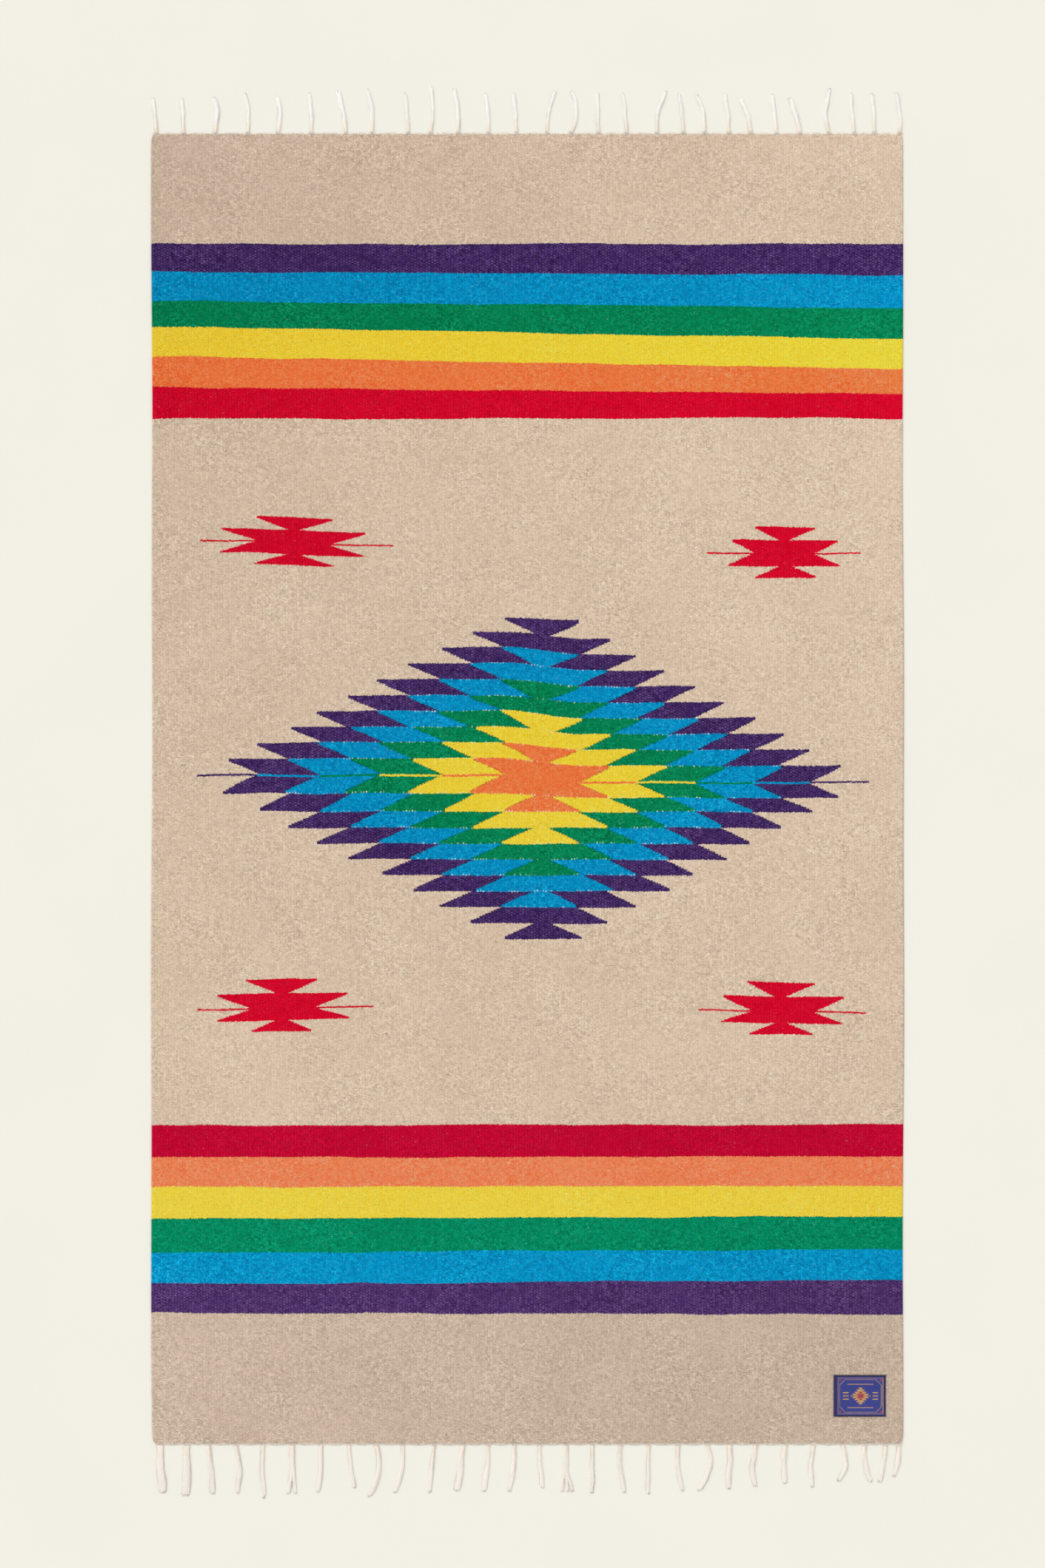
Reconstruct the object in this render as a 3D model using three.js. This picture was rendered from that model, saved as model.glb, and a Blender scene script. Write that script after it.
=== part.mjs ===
// A serape lying flat: one heavy hand-loomed web with a fringe of warp bunches at both ends
// and a small woven label sewn near one corner.
// Millimetres. +X runs across the cloth, +Y along its warp and +Z up from the surface it lies on.
// The origin is at the middle of the cloth's underside.

import * as THREE from 'three';
import { mergeVertices } from 'three/addons/utils/BufferGeometryUtils.js';

// The web
const CLOTH_WIDTH = 1220;
const CLOTH_LENGTH = 2130;
const CLOTH_THICKNESS = 2.4;
const SELVAGE_THICKNESS = 2.9; // the outer warps are doubled
const SELVAGE_WIDTH = 12;
const EDGE_ROUNDING = 0.8; // how far the top and underside stop short of the outermost warp
const EDGE_FACE = { low: 0.8, high: 1.2 }; // the outermost face, as shares of its middle's height
const SELVAGE_WAVER = 1.5; // how far the loomed edges wander from a straight line
const CORNER_LENGTH = 18; // how far from the ends the corners start to draw in

// How far each corner is drawn in, at the very end of the web
const CORNER_DRAW = {
  top: { left: 2.5, right: 2 },
  bottom: { left: 5, right: 3.5 },
};

// The waves that a selvage wanders in: each one's length for a turn of one radian, its share of the
// whole wander, and how its phase grows with the selvage's own
const SELVAGE_WAVES = [
  { stretch: 270, share: 0.6, phasing: 1 },
  { stretch: 95, share: 0.4, phasing: 2.7 },
];
const SELVAGE_PHASE = { left: 0.4, right: 2.1 };

// The web's sections: columns across it and rows along it
const FIELD_COLUMNS = 12;
const FIELD_ROWS = 44;
const CORNER_ROWS = 3;

// The fringe
const SEAM_GAP = 0.3; // the clearance where one piece meets the next
const BUNCH_HEIGHT = 3.2;
const BUNCH_SECTIONS = 5;
const BUNCH_NECK = 0.8; // width where the warps leave the web, as a share of the bunch's width
const BUNCH_FULL_AT = 0.7; // how far along a bunch is at its full width, as a share of its reach
const BUNCH_TIP = 0.6; // size of the last section, as a share of the others
const LEAN_POWER = 1.5; // a bunch leans little near the web and more near its tip

// A bunch's section, counterclockwise, as shares of its half width and of its height
const BUNCH_SECTION = [
  { side: -1, up: 0.35 },
  { side: -0.6, up: 0 },
  { side: 0.6, up: 0 },
  { side: 1, up: 0.35 },
  { side: 0.55, up: 1 },
  { side: -0.55, up: 1 },
];

// The bunches at the top end, from left to right, in millimetres:
// where each leaves the web, how far its tip leans, how far its middle bows, its reach and its width
const TOP_BUNCHES = [
  { at: -603, lean: -4, bow: 0, reach: 55, width: 6 },
  { at: -559, lean: -2, bow: 0, reach: 55, width: 6 },
  { at: -507, lean: -2, bow: 3, reach: 57, width: 8 },
  { at: -454, lean: -5, bow: 2, reach: 64, width: 6 },
  { at: -405, lean: -2, bow: 4, reach: 57, width: 8 },
  { at: -351, lean: -4, bow: 1, reach: 64, width: 6 },
  { at: -295, lean: -12, bow: -1, reach: 67, width: 9 },
  { at: -252, lean: -7, bow: 1, reach: 70, width: 7 },
  { at: -194, lean: -4, bow: 0, reach: 63, width: 6 },
  { at: -158, lean: 1, bow: 4, reach: 74, width: 6 },
  { at: -113, lean: -6, bow: 1, reach: 69, width: 7 },
  { at: -63, lean: -4, bow: 0, reach: 63, width: 6 },
  { at: -18, lean: -5, bow: 0, reach: 63, width: 6 },
  { at: 32, lean: 12, bow: -2, reach: 66, width: 6 },
  { at: 71, lean: 2, bow: 8, reach: 66, width: 7 },
  { at: 115, lean: -3, bow: 0, reach: 63, width: 6 },
  { at: 161, lean: -6, bow: -1, reach: 62, width: 6 },
  { at: 210, lean: 14, bow: -2, reach: 67, width: 6 },
  { at: 253, lean: -6, bow: 0, reach: 62, width: 6 },
  { at: 287, lean: -11, bow: 2, reach: 61, width: 6 },
  { at: 327, lean: -7, bow: 0, reach: 62, width: 6 },
  { at: 362, lean: -16, bow: 1, reach: 55, width: 8 },
  { at: 404, lean: -6, bow: -1, reach: 62, width: 6 },
  { at: 442, lean: -15, bow: -1, reach: 55, width: 8 },
  { at: 489, lean: 1, bow: -5, reach: 71, width: 6 },
  { at: 530, lean: -6, bow: -1, reach: 63, width: 6 },
  { at: 563, lean: -4, bow: 0, reach: 62, width: 6 },
  { at: 604, lean: -6, bow: 2, reach: 65, width: 6 },
];

// The bunches at the bottom end, in the same way
const BOTTOM_BUNCHES = [
  { at: -597, lean: 4, bow: 0, reach: 76, width: 16 },
  { at: -554, lean: -1, bow: 1, reach: 81, width: 15 },
  { at: -519, lean: 8, bow: 2, reach: 78, width: 10 },
  { at: -474, lean: 2, bow: 5, reach: 77, width: 8 },
  { at: -430, lean: 1, bow: 0, reach: 85, width: 8 },
  { at: -382, lean: 0, bow: 0, reach: 78, width: 12 },
  { at: -336, lean: -4, bow: 1, reach: 75, width: 8 },
  { at: -290, lean: 8, bow: 0, reach: 68, width: 7 },
  { at: -246, lean: -10, bow: 8, reach: 83, width: 9 },
  { at: -203, lean: -12, bow: 3, reach: 76, width: 8 },
  { at: -152, lean: -6, bow: -1, reach: 76, width: 7 },
  { at: -106, lean: -8, bow: -1, reach: 73, width: 12 },
  { at: -65, lean: -5, bow: 1, reach: 74, width: 9 },
  { at: -22, lean: -7, bow: 2, reach: 75, width: 8 },
  { at: 19, lean: 7, bow: -1, reach: 68, width: 8 },
  { at: 62, lean: 1, bow: 0, reach: 74, width: 14 },
  { at: 105, lean: 0, bow: 0, reach: 77, width: 7 },
  { at: 151, lean: 6, bow: -2, reach: 76, width: 8 },
  { at: 196, lean: -1, bow: 0, reach: 78, width: 7 },
  { at: 244, lean: 7, bow: -2, reach: 73, width: 8 },
  { at: 292, lean: -13, bow: 9, reach: 73, width: 8 },
  { at: 328, lean: -3, bow: 0, reach: 70, width: 10 },
  { at: 371, lean: -1, bow: -5, reach: 66, width: 9 },
  { at: 418, lean: -1, bow: -2, reach: 61, width: 10 },
  { at: 464, lean: -3, bow: -3, reach: 67, width: 8 },
  { at: 511, lean: -4, bow: 6, reach: 58, width: 8 },
  { at: 547, lean: 10, bow: -3, reach: 58, width: 9 },
  { at: 580, lean: -8, bow: 1, reach: 59, width: 8 },
  { at: 602, lean: -7, bow: 2, reach: 50, width: 9 },
];

// The label
const LABEL_WIDTH = 85;
const LABEL_HEIGHT = 67;
const LABEL_THICKNESS = 0.9;
const LABEL_CORNER_RADIUS = 1.5;
const LABEL_CORNER_SEGMENTS = 3;
const LABEL_INSET = { x: 71, y: 80 }; // from the right selvage and the bottom end to its middle

const undyedWool = new THREE.MeshStandardMaterial({ color: 0xd9c1a6, roughness: 0.95, metalness: 0 });
const warpYarn = new THREE.MeshStandardMaterial({ color: 0xe4dcd2, roughness: 0.9, metalness: 0 });
const wovenPatch = new THREE.MeshStandardMaterial({ color: 0x3f4887, roughness: 0.7, metalness: 0 });

// A closed surface through rings of points that all have the same number of points.
// Each ring runs counterclockwise about the direction in which the rings follow each other.
function loft(rings) {
  const count = rings[0].length;
  const positions = rings.flat().flatMap((point) => [point.x, point.y, point.z]);
  const triangles = [];
  for (let r = 0; r < rings.length - 1; r += 1) {
    for (let i = 0; i < count; i += 1) {
      const a = r * count + i;
      const b = r * count + ((i + 1) % count);
      triangles.push(a, b, b + count, a, b + count, a + count);
    }
  }
  const caps = [
    { start: 0, facesForward: false },
    { start: (rings.length - 1) * count, facesForward: true },
  ];
  for (const { start, facesForward } of caps) {
    // A ring's points are in pairs, an upper one over each lower one, so its cap is a strip.
    for (let i = 0; i < count / 2 - 1; i += 1) {
      const low = start + i;
      const high = start + count - 1 - i;
      const quad = facesForward
        ? [low, low + 1, high - 1, low, high - 1, high]
        : [low, high - 1, low + 1, low, high, high - 1];
      triangles.push(...quad);
    }
  }
  const geometry = new THREE.BufferGeometry();
  geometry.setAttribute('position', new THREE.Float32BufferAttribute(positions, 3));
  geometry.setIndex(triangles);
  const merged = mergeVertices(geometry);
  merged.computeVertexNormals();
  return merged;
}

// How far the corner draws in at this distance from the web's end: nothing, then a quarter round.
function cornerDraw(fromEnd, most) {
  const along = Math.min(fromEnd / CORNER_LENGTH, 1);
  return most * (1 - Math.sqrt(1 - (1 - along) ** 2));
}

// A loomed edge wanders by a few slow waves, the right one unlike the left.
function selvageWaver(y, side) {
  const phase = SELVAGE_PHASE[side];
  let wander = 0;
  for (const { stretch, share, phasing } of SELVAGE_WAVES) {
    wander += share * Math.sin(y / stretch + phasing * phase);
  }
  return SELVAGE_WAVER * wander;
}

// The X of the web's left or right edge at this Y.
function edgeAt(y, side) {
  const outward = side === 'left' ? -1 : 1;
  const end = y > 0 ? 'top' : 'bottom';
  const fromEnd = CLOTH_LENGTH / 2 - Math.abs(y);
  const draw = cornerDraw(fromEnd, CORNER_DRAW[end][side]);
  return outward * (CLOTH_WIDTH / 2 - draw) + selvageWaver(y, side);
}

// The web's top surface, over its flat underside, by the distance to the nearer selvage.
function clothTop(fromSelvage) {
  const share = THREE.MathUtils.smoothstep(fromSelvage, SELVAGE_WIDTH * 0.5, SELVAGE_WIDTH);
  return THREE.MathUtils.lerp(SELVAGE_THICKNESS, CLOTH_THICKNESS, share);
}

// Rows are close together where the corners draw in, and even over the rest.
function rowPositions() {
  const half = CLOTH_LENGTH / 2;
  const rows = [];
  for (let i = 0; i < CORNER_ROWS; i += 1) {
    rows.push(-half + CORNER_LENGTH * (i / CORNER_ROWS) ** 1.5);
  }
  const start = -half + CORNER_LENGTH;
  for (let i = 0; i <= FIELD_ROWS; i += 1) {
    rows.push(start + (i / FIELD_ROWS) * (CLOTH_LENGTH - 2 * CORNER_LENGTH));
  }
  return [...rows, ...rows.slice(0, CORNER_ROWS).map((y) => -y).reverse()];
}

// One section across the web: its underside from left to right, then its top from right to left.
function clothSection(y) {
  const left = edgeAt(y, 'left');
  const right = edgeAt(y, 'right');
  const inner = [EDGE_ROUNDING, SELVAGE_WIDTH * 0.5, SELVAGE_WIDTH];
  const field = [];
  for (let i = 1; i < FIELD_COLUMNS; i += 1) {
    field.push(THREE.MathUtils.lerp(left + SELVAGE_WIDTH, right - SELVAGE_WIDTH, i / FIELD_COLUMNS));
  }
  const across = [...inner.map((d) => left + d), ...field, ...inner.map((d) => right - d).reverse()];
  const underside = across.map((x) => new THREE.Vector3(x, y, 0));
  const top = across.map((x) => new THREE.Vector3(x, y, clothTop(Math.min(x - left, right - x))));
  const middle = SELVAGE_THICKNESS / 2;
  const rightEdge = [
    new THREE.Vector3(right, y, middle * EDGE_FACE.low),
    new THREE.Vector3(right, y, middle * EDGE_FACE.high),
  ];
  const leftEdge = [
    new THREE.Vector3(left, y, middle * EDGE_FACE.high),
    new THREE.Vector3(left, y, middle * EDGE_FACE.low),
  ];
  // The ring starts at the left edge's lower point, so that its points pair up for the caps.
  return [leftEdge[1], ...underside, ...rightEdge, ...top.reverse(), leftEdge[0]];
}

function wovenPanel() {
  // The sections follow each other towards -Y, about which a section runs counterclockwise.
  const sections = rowPositions().reverse().map(clothSection);
  const panel = new THREE.Mesh(loft(sections), undyedWool);
  panel.name = 'woven_panel';
  return panel;
}

// A bunch of warp ends, loose and flat on the surface: narrow where it leaves the web, full
// along its outer part and tapered at its tip. It is lofted from flat-bottomed sections.
function bunch({ lean, bow, reach, width }, outward) {
  const rings = [];
  for (let i = 0; i < BUNCH_SECTIONS; i += 1) {
    const along = i / (BUNCH_SECTIONS - 1);
    const filled = Math.sin((Math.PI / 2) * Math.min(along / BUNCH_FULL_AT, 1));
    const fullness = THREE.MathUtils.lerp(BUNCH_NECK, 1, filled);
    const size = along === 1 ? BUNCH_TIP : 1;
    const half = (width * fullness * size) / 2;
    const high = BUNCH_HEIGHT * size;
    const x = lean * along ** LEAN_POWER + bow * Math.sin(Math.PI * along);
    const y = outward * reach * along;
    rings.push(BUNCH_SECTION.map(({ side, up }) => new THREE.Vector3(x + half * side, y, high * up)));
  }
  // A section runs counterclockwise about -Y.
  return loft(outward < 0 ? rings : rings.reverse());
}

function fringe(end, bunches) {
  const outward = end === 'top' ? 1 : -1;
  const group = new THREE.Group();
  group.position.y = outward * (CLOTH_LENGTH / 2 + SEAM_GAP);
  bunches.forEach((row, index) => {
    const tassel = new THREE.Mesh(bunch(row, outward), warpYarn);
    tassel.name = `tassel_${end}_${String(index + 1).padStart(2, '0')}`;
    tassel.position.x = row.at;
    group.add(tassel);
  });
  return group;
}

function label() {
  const halfWidth = LABEL_WIDTH / 2;
  const halfHeight = LABEL_HEIGHT / 2;
  const r = LABEL_CORNER_RADIUS;
  const outline = new THREE.Shape();
  outline.moveTo(-halfWidth + r, -halfHeight);
  outline.lineTo(halfWidth - r, -halfHeight);
  outline.absarc(halfWidth - r, -halfHeight + r, r, -Math.PI / 2, 0, false);
  outline.lineTo(halfWidth, halfHeight - r);
  outline.absarc(halfWidth - r, halfHeight - r, r, 0, Math.PI / 2, false);
  outline.lineTo(-halfWidth + r, halfHeight);
  outline.absarc(-halfWidth + r, halfHeight - r, r, Math.PI / 2, Math.PI, false);
  outline.lineTo(-halfWidth, -halfHeight + r);
  outline.absarc(-halfWidth + r, -halfHeight + r, r, Math.PI, Math.PI * 1.5, false);
  const patch = new THREE.ExtrudeGeometry(outline, {
    depth: LABEL_THICKNESS,
    bevelEnabled: false,
    curveSegments: LABEL_CORNER_SEGMENTS,
  });
  const mesh = new THREE.Mesh(patch, wovenPatch);
  mesh.name = 'label';
  mesh.position.set(
    CLOTH_WIDTH / 2 - LABEL_INSET.x,
    -CLOTH_LENGTH / 2 + LABEL_INSET.y,
    clothTop(LABEL_INSET.x) + SEAM_GAP,
  );
  return mesh;
}

const serape = new THREE.Group();
serape.add(wovenPanel());
serape.add(fringe('top', TOP_BUNCHES));
serape.add(fringe('bottom', BOTTOM_BUNCHES));
serape.add(label());

export default serape;
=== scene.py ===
"""The looks of a hand-loomed serape, laid flat and seen from straight above.

The web is one weft-faced cloth with rainbow bands at both ends, a stepped lozenge in its middle and
four small motifs round it. Its warp ends leave it in loose bunches, and a small woven label is sewn
near one corner.
"""

import math
import random

import bpy
import numpy as np
from bpy.props import FloatProperty, FloatVectorProperty, IntProperty, PointerProperty
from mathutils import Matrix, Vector, noise


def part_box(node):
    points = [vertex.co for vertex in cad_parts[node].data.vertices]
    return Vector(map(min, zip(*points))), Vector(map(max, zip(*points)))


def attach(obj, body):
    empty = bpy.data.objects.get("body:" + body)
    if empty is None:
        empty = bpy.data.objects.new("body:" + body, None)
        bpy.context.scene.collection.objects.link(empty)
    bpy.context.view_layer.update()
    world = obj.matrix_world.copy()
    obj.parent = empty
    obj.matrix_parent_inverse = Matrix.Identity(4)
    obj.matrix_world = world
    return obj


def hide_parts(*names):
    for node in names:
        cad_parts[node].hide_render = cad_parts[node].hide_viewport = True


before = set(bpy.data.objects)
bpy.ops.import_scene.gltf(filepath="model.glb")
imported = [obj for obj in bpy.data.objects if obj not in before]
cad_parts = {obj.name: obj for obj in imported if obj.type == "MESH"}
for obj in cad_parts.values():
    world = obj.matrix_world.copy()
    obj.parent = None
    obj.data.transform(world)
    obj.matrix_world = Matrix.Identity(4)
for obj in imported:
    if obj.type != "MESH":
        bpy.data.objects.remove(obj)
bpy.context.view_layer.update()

bl_info = {
    "name": "Hand-loomed serape",
    "version": (1, 0, 0),
    "blender": (4, 5, 0),
    "location": "3D View > Sidebar > Serape",
    "description": "Weaves a flat serape with its bands, motifs, fringe and label",
    "category": "Object",
}

MM = 0.001
WEB_WIDTH = 1220.0  # in millimetres, between the lines that the two selvages wander round
FAR = 99.0  # further, in millimetres, than any mark reaches from an edge
ALMOST_A_STEP = 0.999  # just short of one whole step, so that a tier keeps to its own colour
BODY = "root"
WEB_NODE = "woven_panel"
LABEL_NODE = "label"
ENDS = {"top": 1, "bottom": -1}


def srgb(red, green, blue):
    """A colour as shader values, from its everyday 0 to 255 numbers."""

    def linear(value):
        share = value / 255
        return share / 12.92 if share <= 0.04045 else ((share + 0.055) / 1.055) ** 2.4

    return linear(red), linear(green), linear(blue)


# ---------------------------------------------------------------------------------------------
# The design, in millimetres from the middle of the web: +x to the right, +y to the top end
# ---------------------------------------------------------------------------------------------

# Where one colour gives way to the next, from the top end down: its height at the left selvage and
# at the right, because the weaver's bands lean a little, and the colour that starts there.
BAND_EDGES = (
    {"left": 885, "right": 885, "starts": "violet"},
    {"left": 839, "right": 834, "starts": "blue"},
    {"left": 792, "right": 780, "starts": "green"},
    {"left": 750, "right": 730, "starts": "yellow"},
    {"left": 702, "right": 681, "starts": "orange"},
    {"left": 652, "right": 641, "starts": "red"},
    {"left": 601, "right": 601, "starts": "natural"},
    {"left": -546, "right": -545, "starts": "lower_red"},
    {"left": -599, "right": -596, "starts": "lower_orange"},
    {"left": -646, "right": -644, "starts": "lower_yellow"},
    {"left": -698, "right": -694, "starts": "lower_green"},
    {"left": -753, "right": -747, "starts": "lower_blue"},
    {"left": -804, "right": -797, "starts": "lower_violet"},
    {"left": -851, "right": -853, "starts": "lower_natural"},
)

# The big lozenge. Each tier's tips stand out at its outer edge and slant back in by one step. Its
# line is one thin pick or two, and runs on past the outermost tips.
LOZENGE = {
    "x": 23,
    "y": 16,
    "tip": 62,
    "tip_low": 62,
    "step_left": 50,
    "step_right": 47,
    "tiers": 10,
    "rise": 260,
    "fall": 260,
    "line": 1.7,
    "line_left": 561,
    "line_right": 530,
}
LOZENGE_DROP = 6.0  # how far the right half hangs below the left one, from each to the middle
LOZENGE_DROP_WIDTH = 140
LOZENGE_WAIST = 13  # half the width of the neck under the outermost tier
TIP_BLUNTNESS = 0.14  # how much of a tier's height its tip keeps before it slants back
LOZENGE_COLOURS = ("violet", "blue", "green", "yellow", "orange")
TIERS_PER_COLOUR = 2

# The four small motifs: the same figure with two tiers in each half. The outermost tier slants in
# to a narrow waist, and in the lower half it is shorter.
MOTIFS = (
    {"x": -380, "y": 399, "tip": 62, "tip_low": 62, "step": 54, "rise": 42, "fall": 37,
     "drop": 5, "line_left": 151, "line_right": 161},
    {"x": 417, "y": 382, "tip": 51, "tip_low": 47, "step": 37, "rise": 43, "fall": 41,
     "drop": 1, "line_left": 125, "line_right": 124},
    {"x": -396, "y": -357, "tip": 56, "tip_low": 48, "step": 51, "rise": 49, "fall": 37,
     "drop": -3, "line_left": 141, "line_right": 146},
    {"x": 414, "y": -361, "tip": 55, "tip_low": 51, "step": 45, "rise": 47, "fall": 38,
     "drop": 3, "line_left": 136, "line_right": 136},
)
MOTIF_WAIST = 10
MOTIF_TIERS = 2
MOTIF_LINE = 1.5

# How each colour of weft looks close to: how uneven it is, how much of that is in the depth of its
# dye and not in its shade, how much of the warp peeps between its beads, and how much pale lint it
# has caught
WEFT_HABITS = {
    "natural": {"heather": 0.62, "deepens": 0.3, "peep": 0.0, "lint": 0.3},
    "violet": {"heather": 0.9, "deepens": 0.4, "peep": 0.55, "lint": 0.12},
    "blue": {"heather": 0.9, "deepens": 0.4, "peep": 0.03, "lint": 0.4},
    "green": {"heather": 0.8, "deepens": 0.4, "peep": 0.02, "lint": 0.25},
    "yellow": {"heather": 0.5, "deepens": 0.85, "peep": 0.0, "lint": 0.25},
    "orange": {"heather": 0.6, "deepens": 0.85, "peep": 0.0, "lint": 0.25},
    "red": {"heather": 0.45, "deepens": 0.2, "peep": 0.12, "lint": 0.22},
}

# How much brighter the web is for each millimetre to the right, and how that grows towards the top:
# painted light, standing in for light that falls off across the web
PAINTED_LIGHT_SLOPE = {"slope": 0.06 / WEB_WIDTH, "turn": 0.16 / WEB_WIDTH / 1000}

# Bunches that fall apart: where their strands end up to the side of the bunch's own line
SPLIT_BUNCHES = {
    "tassel_bottom_06": (-6.5, 5.5),
    "tassel_bottom_16": (-9.0, 0.0, 9.0),
    "tassel_top_07": (-2.2, 2.0),
}

# How many loose yarns and fibres a bunch, or each strand of one that falls apart, has, how many
# yarns come out of the web beside a bunch, and how far a usual bunch reaches
LOOSE_YARNS = 4
TIP_HAIRS = 8
ROOT_YARNS = 6
USUAL_REACH = 66 * MM

# The label's design, in millimetres: its woven edges, how far its two thin frames stand in from
# them, how much each frame's corners are cut off, and the bars and rules round its lozenge
LABEL_EDGES = {"left": 6.0, "right": 3.2, "ends": 2.6}
LABEL_CENTRE = 1.4  # how far the design stands to the right of the label's middle
LABEL_FRAMES = (
    {"x": 6.2, "y": 4.6, "cut": 0.0},
    {"x": 8.6, "y": 7.0, "cut": 9.0},
)
LABEL_LINE = 0.9
LABEL_BARS = {"start": 19.5, "stop": 28.5, "pitch": 5.2, "to": 6.6, "height": 1.5}
LABEL_RULES = {"y": 18.8, "reach": 21.0, "height": 1.0}


# ---------------------------------------------------------------------------------------------
# What a user may change
# ---------------------------------------------------------------------------------------------


def length(name, description, default, most=1.0):
    return FloatProperty(
        name=name, description=description, default=default, min=0, max=most, unit="LENGTH"
    )


def colour(name, description, default):
    return FloatVectorProperty(
        name=name, description=description, default=default, min=0, max=1, size=3, subtype="COLOR"
    )


def share(name, description, default, most=1.0):
    return FloatProperty(name=name, description=description, default=default, min=0, max=most)


class SerapeWebSettings(bpy.types.PropertyGroup):
    ribs: IntProperty(name="Ribs", description="Warp ribs across the web, an even number", default=264)
    rows: IntProperty(name="Rows", description="Rows of the web's mesh along the warp", default=78)
    bead: length("Bead length", "Length of weft that shows over one warp", 4.45 * MM)
    rib_relief: length("Rib relief", "Depth of the furrows between the ribs", 0.25 * MM)
    bead_relief: length("Bead relief", "Height of one bead of weft", 1.9 * MM)
    wave: length("Waves", "How far the web lifts in its soft waves", 1.2 * MM)
    scallop: length("Scallops", "How far each bunch draws in the web's end", 2.8 * MM)
    natural: colour("Natural", "Undyed ground of the middle", srgb(229, 204, 179))
    # The ground beyond the bands at each end is darker than the middle's natural: painted shade, for
    # light that falls off towards the ends.
    upper_natural: colour("Upper natural", "Undyed ground of the top end", srgb(224, 199, 175))
    lower_natural: colour("Lower natural", "Undyed ground of the bottom end", srgb(214, 191, 170))
    violet: colour("Violet", "Violet weft", srgb(64, 38, 96))
    blue: colour("Blue", "Blue weft", srgb(4, 148, 202))
    green: colour("Green", "Green weft", srgb(4, 134, 84))
    yellow: colour("Yellow", "Yellow weft", srgb(255, 218, 60))
    orange: colour("Orange", "Orange weft", srgb(255, 126, 68))
    red: colour("Red", "Red weft", srgb(222, 4, 42))
    lower_violet: colour("Lower violet", "Violet in the bottom bands", srgb(78, 48, 106))
    lower_blue: colour("Lower blue", "Blue in the bottom bands", srgb(4, 154, 208))
    lower_green: colour("Lower green", "Green in the bottom bands", srgb(4, 144, 100))
    lower_yellow: colour("Lower yellow", "Yellow in the bottom bands", srgb(255, 219, 70))
    lower_orange: colour("Lower orange", "Orange in the bottom bands", srgb(255, 138, 90))
    lower_red: colour("Lower red", "Red in the bottom bands", srgb(204, 4, 50))
    peeping_warp: colour("Peeping warp", "Warp that shows between beads", srgb(170, 138, 190))
    lint: colour("Lint", "Pale lint caught in the weft", srgb(250, 236, 226))


class SerapeFringeSettings(bpy.types.PropertyGroup):
    yarn: length("Yarn", "Diameter of one warp yarn", 1.5 * MM)
    twist: length("Twist", "Length of one full turn of the yarn's two plies", 8 * MM)
    gather: length("Gather", "How far to each side of a bunch its warps come from", 6 * MM)
    undyed: colour("Undyed", "Undyed warp of the top end", srgb(251, 248, 244))
    lower_undyed: colour("Lower undyed", "Undyed warp of the bottom end", srgb(246, 238, 229))
    root: colour("Root", "Warp close to the web, with some of its fluff", srgb(250, 236, 220))
    seed: IntProperty(name="Seed", description="Picks the lie of the strands", default=11)


class SerapeLabelSettings(bpy.types.PropertyGroup):
    ground: colour("Ground", "Label's ground", srgb(52, 62, 142))
    border: colour("Border", "Label's woven edges", srgb(44, 40, 92))
    figure: colour("Figure", "Label's woven figure", srgb(206, 160, 104))
    accent: colour("Accent", "Small figures in the corners", srgb(170, 70, 80))
    thread: colour("Thread", "Sewing thread", srgb(30, 26, 62))
    stitch: length("Stitch", "Distance from one stitch to the next", 2.3 * MM)
    hem: length("Hem", "Width of the folded hems", 5 * MM)


class SerapeStageSettings(bpy.types.PropertyGroup):
    floor: colour("Floor", "Pale floor", srgb(243, 241, 230))
    floor_size: length("Floor size", "Side of the floor", 80, 200)
    lens: FloatProperty(name="Lens", description="Focal length in mm", default=85, unit="CAMERA")
    view_height: length("View height", "Length that the picture's long side takes in", 2.5447, 10)
    view_x: FloatProperty(name="View x", description="Where the camera looks", default=-0.0082)
    view_y: FloatProperty(name="View y", description="Where the camera looks", default=0.0078)
    ambient: share("Ambient", "Brightness of the soft light from all sides", 0.72, 5)
    key: share("Key", "Brightness of the key light", 0.28, 5)
    key_height: FloatProperty(
        name="Key height", description="Above the horizon", default=math.radians(48), subtype="ANGLE"
    )
    key_from: FloatProperty(
        name="Key from", description="Turn from +x", default=math.radians(128), subtype="ANGLE"
    )
    key_softness: FloatProperty(
        name="Key softness", description="Spread", default=math.radians(50), subtype="ANGLE"
    )


# ---------------------------------------------------------------------------------------------
# Laying out shader nodes
# ---------------------------------------------------------------------------------------------


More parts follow.
